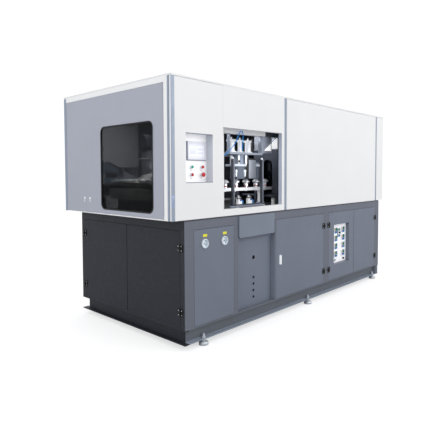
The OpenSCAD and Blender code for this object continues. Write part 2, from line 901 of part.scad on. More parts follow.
// Tubes behind the enclosure's panels, with the door's frame at the left end
module enclosure_frame() {
    x0 = enc_x0 + skin_t + 10;
    x1 = enc_x1 - skin_t;
    y0 = skin_t;
    y1 = enc_y1 - skin_t;
    z1 = enc_top - skin_t;
    color("#e4e6ea")
        place()
            difference() {
                union() {
                    for (z = [enc_z, z1 - tube_s])
                        difference() {
                            block([x0, x1], [y0, y1], [z, z + tube_s]);
                            block([x0 + tube_s, x1 - tube_s], [y0 + tube_s, y1 - tube_s], [z - 1,
                                z + tube_s + 1]);
                        }
                    for (x = [x0, x1 - tube_s], y = [y0, y1 - tube_s])
                        block([x, x + tube_s], [y, y + tube_s], [enc_z, z1]);
                    for (x = [open_x - tube_s - 2, strip_x + 8, right_strip_x + 5])
                        block([x, x + tube_s], [y0, y0 + tube_s], [enc_z, z1]);
                    block([x0, x0 + tube_s], [y0, guard_y0 - 5], [enc_z, z1]);
                    block([enc_x0, x0 + tube_s], [post_w + 2, guard_y0 - 5], [enc_z, z1]);
                    block([enc_x0, x0], [post_w + 2, enc_y1 - post_w - 2], [enc_z, guard_z0 - 2]);
                    block([enc_x0, x0], [post_w + 2, enc_y1 - post_w - 2], [guard_z1 + 2, z1]);
                    difference() {
                        block([x0, x1], [y0, y1], [enc_z, enc_z + sheet_t]);
                        block([0, cab_l], [0, cab_w], [enc_z - 1, enc_z + sheet_t + 1]);
                    }
                }
                for (z = [guard_z0 - 14, guard_z1 - 1])
                    bar_z([pivot_x, pivot_y, z], pivot_d + 2 * run_clear, 15);
            }
}

// Aluminium profiles at the corners and beside the covers
module corner_posts() {
    g = 3;
    strip_in = 3;
    a = post_w;
    h = enc_h - skin_t;
    color("#aab4c4")
        place() {
            translate([enc_x0, 0, enc_z])
                linear_extrude(height = h)
                    polygon([[0, g], [g, 0], [a - 12, 0], [a - 12, skin_t], [skin_t, skin_t],
                        [skin_t, a], [0, a], [0, a - 16], [g, a - 18], [g, a - 24], [0, a - 26]]);
            for (s = [[strip_x + 1, strip_w - 2], [right_strip_x + 1, right_strip_w - 2]])
                translate([s[0], strip_in, enc_z])
                    linear_extrude(height = h)
                        polygon([[0, 0], [s[1] * 0.35, 0], [s[1] * 0.4, 2.5], [s[1] * 0.6, 2.5],
                            [s[1] * 0.65, 0], [s[1], 0], [s[1], skin_t - strip_in], [0,
                                skin_t - strip_in]]);
            for (m = [0, 1])
                translate([m == 0 ? enc_x0 : enc_x1, enc_y1, enc_z])
                    mirror([m, 0, 0])
                        linear_extrude(height = h)
                            polygon([[0, -g], [g, 0], [a, 0], [a, -skin_t], [skin_t, -skin_t],
                                [skin_t, -a], [0, -a]]);
        }
}

ctl_rx = [ctl_x, ctl_x + ctl_w];
ctl_rz = [enc_z + ctl_up, enc_z + ctl_up + ctl_h];
screen_rx = [ctl_x + 76, ctl_x + 76 + screen_w];
screen_z = ctl_rz[1] - 58 - screen_h;
button_xs = [ctl_x + 127, ctl_x + 127 + button_dx];
button_zs = [screen_z - 52, screen_z - 52 - button_dz];
plunger_d = 12;
collar_d = 30;
collar_h = 16;
button_body_d = 22;
button_body_h = 30;

// Front-left cover, and the folded box of the control recess behind its cut-out
module control_panel() {
    x0 = enc_x0 + post_w - 10;
    t = sheet_t;
    color("#ebebeb")
        place()
            difference() {
                union() {
                    front_pan([x0 - seam, open_x + seam], [enc_z - seam, enc_top - skin_t], 0, skin_t);
                    block([ctl_rx[0] - t, ctl_rx[1] + t], [t + 0.2, ctl_t + t],
                        [ctl_rz[0] - t, ctl_rz[1] + t]);
                }
                block(ctl_rx, [-1, ctl_t], ctl_rz);
                for (x = button_xs, z = button_zs)
                    bar_y([x, ctl_t - 1, z], button_body_d + 0.5, t + 2);
            }
}

// Touch screen housing with its sunk glass
module touch_screen() {
    y = ctl_t - screen_t;
    color("#eceef2")
        place()
            difference() {
                block(screen_rx, [y, ctl_t], [screen_z, screen_z + screen_h]);
                block([screen_rx[0] + 24, screen_rx[1] - 18], [y - 1, y + 2],
                    [screen_z + 24, screen_z + screen_h - 24]);
            }
}

// Chromed collars and bodies of the four operators
module button_bezels() {
    color("#c8ccd0")
        place()
            for (x = button_xs, z = button_zs)
                translate([x, ctl_t, z])
                    rotate([90, 0, 0])
                        difference() {
                            union() {
                                cylinder(d = collar_d, h = 4);
                                cylinder(d = collar_d - 3, h = collar_h);
                                translate([0, 0, -button_body_h])
                                    cylinder(d = button_body_d, h = button_body_h + 1);
                            }
                            translate([0, 0, -button_body_h - 1])
                                cylinder(d = plunger_d + 2 * run_clear, h = button_body_h + collar_h + 2);
                            translate([0, 0, collar_h - button_travel - 1.5])
                                cylinder(d = button_d + 0.8, h = 20);
                        }
}

// Cap and plunger of one push button
module push_cap(x, z, d, out) {
    place()
        translate([x, ctl_t, z])
            rotate([90, 0, 0])
                union() {
                    translate([0, 0, collar_h])
                        cylinder(d = d, h = out);
                    translate([0, 0, button_travel - button_body_h + 4])
                        cylinder(d = plunger_d, h = button_body_h + collar_h - button_travel - 3);
                }
}
module start_button() {
    color("#18a890")
        push_cap(button_xs[0], button_zs[0], button_d, 5);
}
module stop_button() {
    color("#c01822")
        push_cap(button_xs[1], button_zs[0], button_d, 9);
}
module reset_button() {
    color("#e04a50")
        push_cap(button_xs[0], button_zs[1], button_d, 5);
}

// Mushroom head of the emergency button
module emergency_stop() {
    color("#d4202a")
        place()
            translate([button_xs[1], ctl_t, button_zs[1]])
                rotate([90, 0, 0])
                    rotate_extrude()
                        polygon([[0, -20], [plunger_d / 2, -20], [plunger_d / 2, collar_h + 6],
                            [stop_d / 2 - 4, collar_h + 6], [stop_d / 2, collar_h + 9],
                            [stop_d / 2, collar_h + 13], [stop_d / 2 - 3, collar_h + 18],
                            [stop_d / 4, collar_h + 21], [0, collar_h + 22]]);
}

// Sill, right jamb and lintel of the front opening
module opening_frame() {
    color("#ebebeb")
        place() {
            difference() {
                block([open_x + 1, strip_x], [0, wall_t], [enc_z, enc_top - skin_t - 1]);
                block([open_x, open_x1], [-1, wall_t + 1], [sill_top, open_top]);
                block([open_x + 1 + sheet_t, open_x1], [sheet_t, wall_t + 1], [open_top + wall_t, enc_top]);
                block([open_x, strip_x + 1], [skin_t, wall_t + 1], [enc_z - 1, enc_z + tube_s + 0.5]);
                block([open_x, strip_x + 1], [skin_t, wall_t + 1], [enc_top - skin_t - tube_s - 0.5,
                    enc_top]);
            }
        }
}

// Fixed covers of the front, right of the opening
module front_cover() {
    color("#ebebeb")
        place() {
            front_pan([cover_x0 - seam, right_strip_x + seam], [enc_z - seam, enc_top - skin_t], 0, skin_t);
            front_pan([right_strip_x + right_strip_w - seam, enc_x1 + seam], [enc_z - seam,
                enc_top - skin_t],
                0, skin_t);
        }
}

// Covers of the right end and the back, with the back's exhaust louvres
module enclosure_panels() {
    w = (enc_x1 - enc_x0 - 2 * post_w) / 3;
    t = skin_t;
    color("#ebebeb")
        place() {
            difference() {
                block([enc_x1 - t, enc_x1], [t + 1, enc_y1 - post_w - 1], [enc_z, enc_top - skin_t - 1]);
                block([enc_x1 - t - 1, enc_x1 - sheet_t], [t + 1 + sheet_t, enc_y1 - post_w - 1 - sheet_t],
                    [enc_z + sheet_t, enc_top - skin_t - 1 - sheet_t]);
            }
            for (i = [0:2])
                translate([enc_x0 + post_w + i * w, 0, 0])
                    difference() {
                        block([1, w - 1], [enc_y1 - t, enc_y1], [enc_z, enc_top - skin_t - 1]);
                        block([1 + sheet_t, w - 1 - sheet_t], [enc_y1 - t - 1, enc_y1 - sheet_t],
                            [enc_z + sheet_t, enc_top - skin_t - 1 - sheet_t]);
                        if (i > 0)
                            for (k = [0:7])
                                block([w / 2 - 200, w / 2 + 200], [enc_y1 - t, enc_y1 + 1],
                                    [enc_top - 420 + k * 34, enc_top - 420 + k * 34 + 12]);
                    }
        }
}

// Roof sheet with its folded rim
module roof() {
    color("#ebebeb")
        place()
            difference() {
                block([enc_x0, enc_x1], [0, enc_y1], [enc_top - skin_t, enc_top]);
                block([enc_x0 + wall_t, enc_x1 - wall_t], [wall_t, enc_y1 - wall_t],
                    [enc_top - skin_t - 1, enc_top - sheet_t]);
            }
}

win_y = [guard_y0 + window_in, guard_y0 + window_in + window_w];
win_z = [guard_z0 + window_up, guard_z0 + window_up + window_h];

// Guard door of the left end with its window hole and pivot pins
module guard_door() {
    color("#a6aab6")
        place() {
            difference() {
                union() {
                    difference() {
                        block([enc_x0, enc_x0 + guard_t], [guard_y0, guard_y1], [guard_z0, guard_z1]);
                        block([enc_x0 + sheet_t, enc_x0 + guard_t + 1], [guard_y0 + 26, guard_y1 - sheet_t],
                            [guard_z0 + sheet_t, guard_z1 - sheet_t]);
                    }
                    round_plate([enc_x0 + 0.5, enc_x0 + guard_t], [win_y[0] - 20, win_y[1] + 20],
                        [win_z[0] - 20, win_z[1] + 20], window_r + 20);
                }
                round_plate([enc_x0 - 1, enc_x0 + guard_t + 1], win_y, win_z, window_r);
            }
            for (z = [guard_z0 - 9, guard_z1 - 1])
                bar_z([pivot_x, pivot_y, z], pivot_d, 10);
        }
}

glass_x = [enc_x0 + 5, enc_x0 + 10];
seal_grip = 2.5;

// Smoked sheet of the window
module guard_window() {
    e = seal_w - seal_grip;
    color("#202226", 0.6)
        place()
            round_plate(glass_x, [win_y[0] + e, win_y[1] - e], [win_z[0] + e, win_z[1] - e], window_r - e);
}

// Rubber seal between the window and the door
module window_seal() {
    w = seal_w;
    e = seal_w - seal_grip - 0.3;
    color("#0c0c0d")
        place()
            difference() {
                round_plate([enc_x0 - seal_out, enc_x0 + guard_t + 0.5], win_y, win_z, window_r + 2);
                round_plate([enc_x0 - seal_out - 1, enc_x0 + guard_t + 2], [win_y[0] + w, win_y[1] - w],
                    [win_z[0] + w, win_z[1] - w], window_r - w);
                round_plate(glass_x, [win_y[0] + e, win_y[1] - e], [win_z[0] + e, win_z[1] - e],
                    window_r - e);
            }
}

portal_bar = 24;
portal_y = [78, 98];

// U-shaped frame in front of the transfer station, with its knobs
module transfer_portal() {
    y = portal_y;
    bar = portal_bar;
    foot = enc_z + 58;
    color("#3a3d48")
        place() {
            for (x = [portal_x0, portal_x1 - bar]) {
                block([x, x + bar], y, [foot, bridge_z - 44]);
                bar_z([x + bar / 2, (y[0] + y[1]) / 2, bridge_z - 45], bar - 2, 16);
                block([x - 8, x + bar + 8], [y[0] - 8, y[1] + 8], [enc_z, foot]);
            }
            block([portal_x0, portal_x1], y, [foot, foot + bar]);
        }
}

// White beam over the stations, on its two columns
module top_beam() {
    color("#f0f0f0")
        place() {
            block([station_x0, station_x1], [beam_y, beam_y + beam_w], [beam_z, beam_z + beam_h]);
            block([station_x0, station_x0 + beam_w], [beam_y, beam_y + beam_w], [enc_z, beam_z + 1]);
            block([station_x1 - beam_w + 20, station_x1], [beam_y, beam_y + beam_w - 10],
                [enc_z, beam_z + 1]);
            bar_x([station_x0 + beam_w - 1, cylinder_y + tube_start[1], bridge_z + tube_start[2]],
                fitting_d, fitting_h + 1);
        }
}

// Plate that hangs from the beam, with the T-shaped slide that carries the transfer head
module transfer_bridge() {
    y1 = beam_y + beam_w + bridge_reach;
    mid = head_x + head_w / 2;
    color("#c3c8d2")
        place() {
            block([portal_x0 + 10, portal_x1 + 40], [beam_y + 20, y1], [bridge_z, bridge_z + bridge_t]);
            for (x = [portal_x0 + 14, portal_x1 + 24])
                block([x, x + 12], [beam_y + 30, beam_y + beam_w], [bridge_z, beam_z]);
            translate([portal_x1 + 42, beam_y + 22, bridge_z + 20])
                cube([150, 4, beam_z - bridge_z - 20]);
            block([portal_x1 + 30, portal_x1 + 46], [beam_y + 22, beam_y + 30], [bridge_z, beam_z]);
            slide_rail(mid, [beam_y + beam_w + 5, y1 - 20], 0);
            bar_z([mandrel_x + tube_foot[0], cylinder_y + tube_foot[1], bridge_z + bridge_t - 1],
                fitting_d, fitting_h + 1);
        }
}

// T-shaped slide under the bridge; a gap makes the groove that runs on it
module slide_rail(x, y, gap) {
    block([x - slide_w * 0.3 - gap, x + slide_w * 0.3 + gap], y, [bridge_z - slide_h, bridge_z + 1]);
    block([x - slide_w / 2 - gap, x + slide_w / 2 + gap], y,
        [bridge_z - slide_h - gap, bridge_z - slide_h / 2 + gap]);
}

// Air cylinders on the bridge, with their end caps
module transfer_cylinders() {
    color("#e8eaee")
        place()
            for (c = [[65, 62], [186, 40], [305, 58]])
                translate([mandrel_x + c[0], cylinder_y, bridge_z + bridge_t])
                    union() {
                        translate([-c[1] / 2 - 2, -c[1] / 2 - 2, 0])
                            cube([c[1] + 4, c[1] + 4, 16]);
                        cylinder(d = c[1], h = 116);
                        translate([-c[1] / 2 - 2, -c[1] / 2 - 2, 104])
                            cube([c[1] + 4, c[1] + 4, 18]);
                        cylinder(d = fitting_d, h = cylinder_h);
                    }
}

// Sliding head with its guide rods, plate and two gripper blocks
module transfer_head() {
    y0 = beam_y + beam_w + 5;
    z = bridge_z - slide_gap;
    color("#8b95a6")
        place() {
            difference() {
                block([head_x, head_x + head_w], [y0, y0 + 100], [z - 86, z]);
                slide_rail(head_x + head_w / 2, [y0 - 1, y0 + 101], slide_gap);
            }
            for (x = [head_x - 30, head_x + head_w + 33])
                bar_z([x, y0 + 50, z - 106], 20, 100);
            block([head_x - 46, head_x + head_w + 164], [y0 - 8, y0 + 112], [z - 108, z - 88]);
            for (x = [head_x + 14, head_x + head_w - 14])
                block([x, x + 30], [y0 + 20, y0 + 80], [z - 90, z - 80]);
            block([head_x, head_x + head_w + 27], [y0 + 5, y0 + 95], [mould_z + 6, z - 108]);
            block([head_x + head_w + 58, head_x + head_w + 164], [y0 + 5, y0 + 105], [mould_z + 6, z - 70]);
            for (x = [head_x - 16, head_x + head_w + 41])
                bar_z([x, y0 + 8, z - 150], 12, 44);
        }
}

// Points of a smooth tube: ring i of a sweep along hand-chosen points
function unit(v) = v / norm(v);
function along(p, i) = unit(p[min(i + 1, len(p) - 1)] - p[max(i - 1, 0)]);
function across(t) = unit(cross(t, abs(t[1]) < 0.9 ? [0, 1, 0] : [1, 0, 0]));
function ring(p, i, r, n) = let (t = along(p, i), u = across(t), v = cross(t, u))
    [for (k = [0:n - 1]) p[i] + r * (cos(360 * k / n) * u + sin(360 * k / n) * v)];

module tube(p, d, n = 10) {
    m = len(p);
    points = [for (i = [0:m - 1]) each ring(p, i, d / 2, n)];
    sides = [for (i = [0:m - 2], k = [0:n - 1])
        [i * n + k, i * n + (k + 1) % n, (i + 1) * n + (k + 1) % n, (i + 1) * n + k]];
    polyhedron(points = points,
        faces = concat([[for (k = [0:n - 1]) n - 1 - k]], sides, [[for (k = [0:n - 1]) (m - 1) * n + k]]));
}

// Paths of the two air tubes, from the first mandrel, the cylinders' row and the bridge's foot
cylinder_top = bridge_t + cylinder_h;
tube_a = [tube_start, [-145, -95, -15], [-125, -101, -5], [-85, -107, 25], [-45, -107, 63],
    [-10, -99, 101], [25, -82, 137], [57, -60, 169], [87, -40, 193], [115, -26, 205], [141, -16, 205],
    [163, -8, 196], [178, -3, 184], [186, 0, 172], [186, 0, cylinder_top]];
tube_b = [[305, 0, cylinder_top], [305, 0, 172], [301, -2, 184], [291, -8, 197], [274, -15, 207],
    [255, -23, 213], [223, -31, 211], [195, -37, 193], [173, -40, 163], [155, -42, 129], [143, -44, 95],
    [137, -46, 61], [135, -47, 38], [135, -47, bridge_t + fitting_h]];

// Air tubes held between the fittings of the column, the cylinders and the bridge
module air_tubes() {
    color("#1e78d8")
        place()
            translate([mandrel_x, cylinder_y, bridge_z]) {
                tube(tube_a, tube_d);
                tube(tube_b, tube_d);
            }
}

// Bottle shape that the mould closes round, neck down
module bottle_space() {
    r = bottle_d / 2;
    rotate_extrude()
        polygon([[0, -1], [16, -1], [16, 26], [20, 32], [r * 0.72, 56], [r, 84], [r, bottle_h - 22],
            [r * 0.96, bottle_h - 12], [r * 0.8, bottle_h], [r * 0.42, bottle_h + 4], [0, bottle_h - 4]]);
}

// One mould half; face is the y of its parting face
module mould_half(y, face) {
    difference() {
        block([mould_x0, mould_x1], [y, y + mould_t], [mould_z, mould_z + mould_h]);
        for (i = [0:cavities - 1])
            translate([cavity_x + i * pitch, face, mould_z])
                bottle_space();
        for (z = [mould_z + 70, mould_z + 160])
            bar_x([mould_x0 - 1, y + (face > y ? 13 : mould_t - 13), z], 12, 90);
    }
}
module front_mould() {
    color("#4a4c52")
        place()
            mould_half(front_mould_y, front_mould_y + mould_t);
}
module rear_mould() {
    color("#4a4c52")
        place()
            mould_half(rear_mould_y, rear_mould_y);
}

tie_xs = [mould_x0 + 30, mould_x1 - 30];
guide_xs = [mould_x0 + pitch, mould_x1 - pitch];
guide_w = 34;

// Front platen with its two tie rods, pulled from behind
module front_platen() {
    color("#5a5e68")
        place() {
            difference() {
                block([mould_x0, mould_x1], [front_platen_y, front_mould_y], [guide_z + 0.4, platen_top]);
                block([mould_x0 + 80, mould_x1 - 80], [front_platen_y - 1, front_mould_y + 1],
                    [guide_z + 100, mould_z - 40]);
            }
            for (x = tie_xs)
                bar_y([x, front_mould_y - 1, tie_z], tie_d,
                    back_plate_y + back_plate_t + 90 - front_mould_y);
        }
}

// Rear platen with the clamp's ram
module rear_platen() {
    color("#5a5e68")
        place() {
            difference() {
                block([mould_x0, mould_x1], [rear_platen_y, rear_platen_y + platen_t],
                    [guide_z + 0.4, platen_top]);
                block([mould_x0 + 80, mould_x1 - 80], [rear_platen_y - 1, rear_platen_y + platen_t + 1],
                    [guide_z + 100, mould_z - 40]);
                for (x = tie_xs)
                    bar_y([x, rear_platen_y - 1, tie_z], tie_d + 2, platen_t + 2);
            }
            bar_y([(mould_x0 + mould_x1) / 2, rear_platen_y + platen_t - 1, mould_z + mould_h / 2], 60,
                300);
        }
}

arch_w = 120;
arch_top = mould_z + mould_h * 0.7;
plate_y = [row_y - 130, row_y + 175];
plate_z = [rail_z - rail_h - 46, platen_top];
plate_t = 12;

// Plate in front of the moulds, with the arch that the row of mandrels passes through
module arch_plate() {
    r = arch_w / 2;
    leg = 30;
    translate([mandrel_x + 4.5 * pitch - 34, row_y, 0])
        difference() {
            block([0, plate_t], [plate_y[0] - row_y, plate_y[1] - row_y], [enc_z, plate_z[1]]);
            block([-1, plate_t + 1], [-r, r], [plate_z[0] - 1, arch_top - r]);
            bar_x([-1, 0, arch_top - r], arch_w, plate_t + 2);
            block([-1, plate_t + 1], [plate_y[0] - row_y + leg, plate_y[1] - row_y - leg],
                [enc_z - 1, plate_z[0]]);
        }
}

// Fixed rear plate, clamp cylinder, the guides on the bed and the arch plate
module clamp_frame() {
    mid = (mould_x0 + mould_x1) / 2;
    z = mould_z + mould_h / 2;
    color("#4d515b")
        place() {
            arch_plate();
            difference() {
                union() {
                    block([mould_x0 - 20, mould_x1 + 20], [back_plate_y, back_plate_y + back_plate_t],
                        [enc_z, platen_top]);
                    bar_y([mid, back_plate_y + 1, z], 160, 220);
                    for (x = guide_xs)
                        block([x - guide_w / 2, x + guide_w / 2], [front_platen_y, back_plate_y + 1],
                            [enc_z, guide_z]);
                }
                bar_y([mid, back_plate_y - 1, z], 62, 200);
                for (x = tie_xs)
                    bar_y([x, back_plate_y - 1, tie_z], tie_d + 2, back_plate_t + 2);
            }
        }
}

stretch_deep = 230;
lift_d = 50;
stretch_xs = [for (i = [0:cavities - 1]) cavity_x + i * pitch];
lift_xs = [mandrel_x + pitch, mandrel_x + 2 * pitch];

// Air cylinders under the rail, for the stretch rods and for the transfer
module lift_cylinders() {
    color("#e8eaee")
        place() {
            for (x = stretch_xs)
                translate([x, row_y, enc_z])
                    difference() {
                        union() {
                            translate([0, 0, -stretch_deep])
                                cylinder(d = lift_d, h = stretch_deep + 110);
                            translate([-29, -29, 0])
                                cube([58, 58, 14]);
                        }
                        translate([0, 0, 6 - stretch_deep])
                            cylinder(d = stretch_d + 1, h = stretch_deep + 120);
                    }
            for (x = lift_xs)
                translate([x, row_y - 30, enc_z])
                    union() {
                        translate([-24, -24, 0])
                            cube([48, 48, 14]);
                        cylinder(d = 42, h = 118);
                        translate([0, 0, 117])
                            cylinder(d = 26, h = 12);
                        translate([0, 0, 128])
                            cylinder(d = 12, h = 26);
                    }
        }
}

// Rods that stretch the preforms from below
module stretch_rods() {
    color("#d8dade")
        place()
            for (x = stretch_xs)
                bar_z([x, row_y, enc_z + 7 - stretch_deep], stretch_d,
                    stretch_deep + rail_up - rail_h - 15);
}

rail_x0 = mandrel_x - 85;
rail_x1 = mandrel_x + (mandrel_n - 1) * pitch + 60;
rail_foot = 30;

// Slotted rail that the mandrels run along, on its posts
module conveyor_rail() {
    w = rail_slot / 2 + rail_side;
    color("#c9ccd2")
        place() {
            difference() {
                block([rail_x0, rail_x1], [row_y - w, row_y + w], [rail_z - rail_h, rail_z]);
                block([rail_x0 + 20, rail_x1 - 20], [row_y - rail_slot / 2, row_y + rail_slot / 2],
                    [rail_z - rail_h - 1, rail_z + 1]);
            }
            for (x = [rail_x0 + 17, mandrel_x + 3.5 * pitch, mandrel_x + 9.5 * pitch,
                mandrel_x + 14.5 * pitch, rail_x1 - 17])
                block([x - rail_foot / 2, x + rail_foot / 2], [row_y - w, row_y + w], [enc_z,
                    rail_z - rail_h]);
        }
}

mandrel_top = 66;

// Hollow mandrels that carry the preforms, neck down
module mandrels() {
    color("#e6e8ec")
        place()
            for (i = [0:mandrel_n - 1])
                translate([mandrel_x + i * pitch, row_y, rail_z])
                    rotate_extrude($fn = 32)
                        polygon([[7, -rail_h - 6], [10, -rail_h - 6], [10, 0], [23, 0], [23, 12], [17, 14],
                            [17, 22], [21, 24], [21, 34], [13, 40], [13, mandrel_top - 4], [11, mandrel_top],
                            [7, mandrel_top]]);
}

oven_h = 340;
oven_z1 = rail_z + oven_h;
oven_gap = 90;
oven_depth = 100;
oven_y = row_y + oven_gap;
reflector_gap = 80;
reflector_t = 15;
lamp_d = 12;
fan_x = (oven_x0 + oven_x1) / 2;
fan_y = oven_y + oven_depth;
fan_up = 176;
fan_z = rail_z + fan_up;
fan_d = 270;
fan_t = 110;
fan_shaft_d = 20;
rotor_y = fan_y + 15;

// Heating oven: lamp bank behind the row, reflector in front, blower on the back
module oven() {
    motor_y = fan_y + fan_t - 2;
    color("#9aa0a8")
        place() {
            difference() {
                block([oven_x0, oven_x1], [oven_y, fan_y], [enc_z, oven_z1]);
                block([oven_x0 + 20, oven_x1 - 20], [oven_y - 1, oven_y + 40], [rail_z + 46, oven_z1 - 20]);
                bar_y([fan_x, oven_y + 10, fan_z], fan_d - 20, oven_depth);
            }
            block([oven_x0, oven_x1], [row_y - reflector_gap - reflector_t, row_y - reflector_gap],
                [enc_z, oven_z1]);
            difference() {
                bar_y([fan_x, fan_y - 1, fan_z], fan_d + 30, fan_t);
                bar_y([fan_x, fan_y - 10, fan_z], fan_d, fan_t - 10);
                bar_y([fan_x, fan_y - 10, fan_z], fan_d * 2 / 3, fan_t + 20);
            }
            for (a = [0, 90])
                translate([fan_x, fan_y + fan_t - 9, fan_z])
                    rotate([0, a, 0])
                        translate([-fan_d / 2 + 35, 0, -8])
                            cube([fan_d - 70, 8, 16]);
            bar_y([fan_x, motor_y, fan_z], 90, 90);
            bar_y([fan_x, rotor_y + 22, fan_z], fan_shaft_d, motor_y - rotor_y - 21);
        }
}

// Quartz tubes of the oven
module oven_lamps() {
    color("#f0dcae")
        place()
            for (i = [0:6])
                bar_x([oven_x0 + 20, oven_y + 14, rail_z + 70 + i * 38], lamp_d, oven_x1 - oven_x0 - 40);
}

// Blower rotor on the motor's shaft
module fan_rotor() {
    color("#b8bcc4")
        place()
            translate([fan_x, rotor_y, fan_z])
                rotate([-90, 0, 0])
                    difference() {
                        union() {
                            cylinder(d = 60, h = 68);
                            for (a = [0:60:300])
                                rotate([0, 0, a])
                                    translate([25, -2, 8])
                                        rotate([12, 0, 0])
                                            cube([fan_d / 2 - 37, 4, 46]);
                        }
                        translate([0, 0, 20])
                            cylinder(d = fan_shaft_d + 2 * run_clear, h = 60);
                    }
}

infeed_x = [40, 420];
infeed_y = [300, 1250];
infeed_z = rail_z + 28;
infeed_top = infeed_z + 20;
infeed_leg = 40;
holder_pitch = 34;

// Infeed table behind the guard window, with its chute, column and motor
module infeed_table() {
    x = infeed_x;
    y = infeed_y;
    z = infeed_z;
    leg = infeed_leg;
    color("#5b5c52")
        place() {
            block(x, y, [z, infeed_top]);
            for (lx = [x[0], x[1] - leg], ly = [y[0], y[1] - leg])
                block([lx, lx + leg], [ly, ly + leg], [enc_z, z + 1]);
            difference() {
                block([x[0] + 30, x[1] - 20], [y[0] + 60, 900], [enc_z + 110, z + 1]);
                block([x[0] + 20, 300], [560, 720], [enc_z + 150, enc_z + 172]);
            }
            block([230, 330], [650, 840], [infeed_top - 1, z + 380]);
            bar_x([170, 745, z + 400], 120, 160);
            for (i = [0:7])
                bar_z([140, y[0] + 80 + i * holder_pitch, infeed_top - 1], 26, holder_pitch);
            difference() {
                translate([60, 900, infeed_top - 1])
                    cube([180, 300, 150]);
                translate([78, 880, infeed_top + 40])
                    rotate([18, 0, 0])
                        cube([144, 400, 200]);
            }
        }
}

base_frame();
levelling_feet();
cabinet_frame();
cabinet_panels();
gauge_panel();
port_panel();
port_grommets();
chute_cover();
machine_bed();
frame_hinge_leaves();
gauge_cases();
gauge_lenses();
left_pointer();
right_pointer();
electrical_plate();
air_tank();
end_door_front();
end_door_rear();
service_door();
service_handle();
meter_door();
meter_panel();
selector_knob();
heat_knob();
right_door();
enclosure_frame();
corner_posts();
control_panel();
touch_screen();
button_bezels();
start_button();
stop_button();
reset_button();
emergency_stop();
opening_frame();
front_cover();
enclosure_panels();
roof();
guard_door();
guard_window();
window_seal();
transfer_portal();
top_beam();
transfer_bridge();
transfer_cylinders();
transfer_head();
air_tubes();
front_platen();
front_mould();
rear_platen();
rear_mould();
clamp_frame();
lift_cylinders();
stretch_rods();
conveyor_rail();
mandrels();
oven();
oven_lamps();
fan_rotor();
infeed_table();
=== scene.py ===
import math
import random

import bmesh
import bpy
from mathutils import Matrix, Vector


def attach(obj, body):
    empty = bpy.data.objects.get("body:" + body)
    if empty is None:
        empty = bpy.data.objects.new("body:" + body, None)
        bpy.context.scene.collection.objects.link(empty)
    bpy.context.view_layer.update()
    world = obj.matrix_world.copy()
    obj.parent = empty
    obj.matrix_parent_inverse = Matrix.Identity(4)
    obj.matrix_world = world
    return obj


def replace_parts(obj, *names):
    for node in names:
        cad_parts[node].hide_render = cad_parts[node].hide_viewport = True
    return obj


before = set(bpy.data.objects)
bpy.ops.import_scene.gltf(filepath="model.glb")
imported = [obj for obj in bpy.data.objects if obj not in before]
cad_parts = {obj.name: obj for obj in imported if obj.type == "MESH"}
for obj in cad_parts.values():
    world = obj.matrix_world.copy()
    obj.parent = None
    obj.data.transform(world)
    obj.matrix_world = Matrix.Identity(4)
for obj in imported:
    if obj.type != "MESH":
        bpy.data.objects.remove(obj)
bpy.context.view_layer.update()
scene = bpy.context.scene

# Lengths in this file are millimetres, x and y from the cabinet's front left corner, z from the floor.
# The frame is in metres, with its origin on the floor below the machine's middle.
MM = 1000
MIDDLE = {"X": 1742.0, "Y": 797.5, "Z": 0.0}


def at(x, y, z):
    """A point of the drawing, in the frame."""
    return Vector(((x - MIDDLE["X"]) / MM, (y - MIDDLE["Y"]) / MM, (z - MIDDLE["Z"]) / MM))


def sharpen(obj, degrees):
    """Keeps the edges that turn by more than this crisp under smooth shading."""
    obj.modifiers.new("edges", "EDGE_SPLIT").split_angle = math.radians(degrees)


# ---------------------------------------------------------------- materials
DUST = "#a7a59c"
# Scales of the noises, in patches a metre
PANEL_TONE, PANEL_GLOSS, PANEL_PEEL = 2.3, 26.0, 900.0
MOULDED_TONE, MOULDED_GLOSS, MOULDED_GRAIN = 14.0, 60.0, 1600.0
SMUDGE, DUST_PATCH, PANE_SMEAR, FLOOR_TONE = 9.0, 18.0, 5.0, 1.5
NOISE_ROUGH = 0.55
# Depths of the textures, in metres
PEEL_DEPTH, FINE_DEPTH = 0.0006, 0.0004
# Lowest and highest share of light that a pane mirrors, and its range of roughness
PANE_MIRROR = (0.012, 0.08)
PANE_ROUGH = (0.02, 0.07)
PANE_FACING = 0.25


def linear(code):
    """The linear colour of a hexadecimal code."""
    rgb = [int(code[i:i + 2], 16) / 255 for i in (1, 3, 5)]
    return [c / 12.92 if c < 0.04045 else ((c + 0.055) / 1.055) ** 2.4 for c in rgb] + [1.0]


def shade(rgb, k):
    """A lighter or darker tone of a colour."""
    return [min(1.0, c * k) for c in rgb[:3]] + [1.0]


def put(node, name, value):
    node.inputs[name].default_value = value


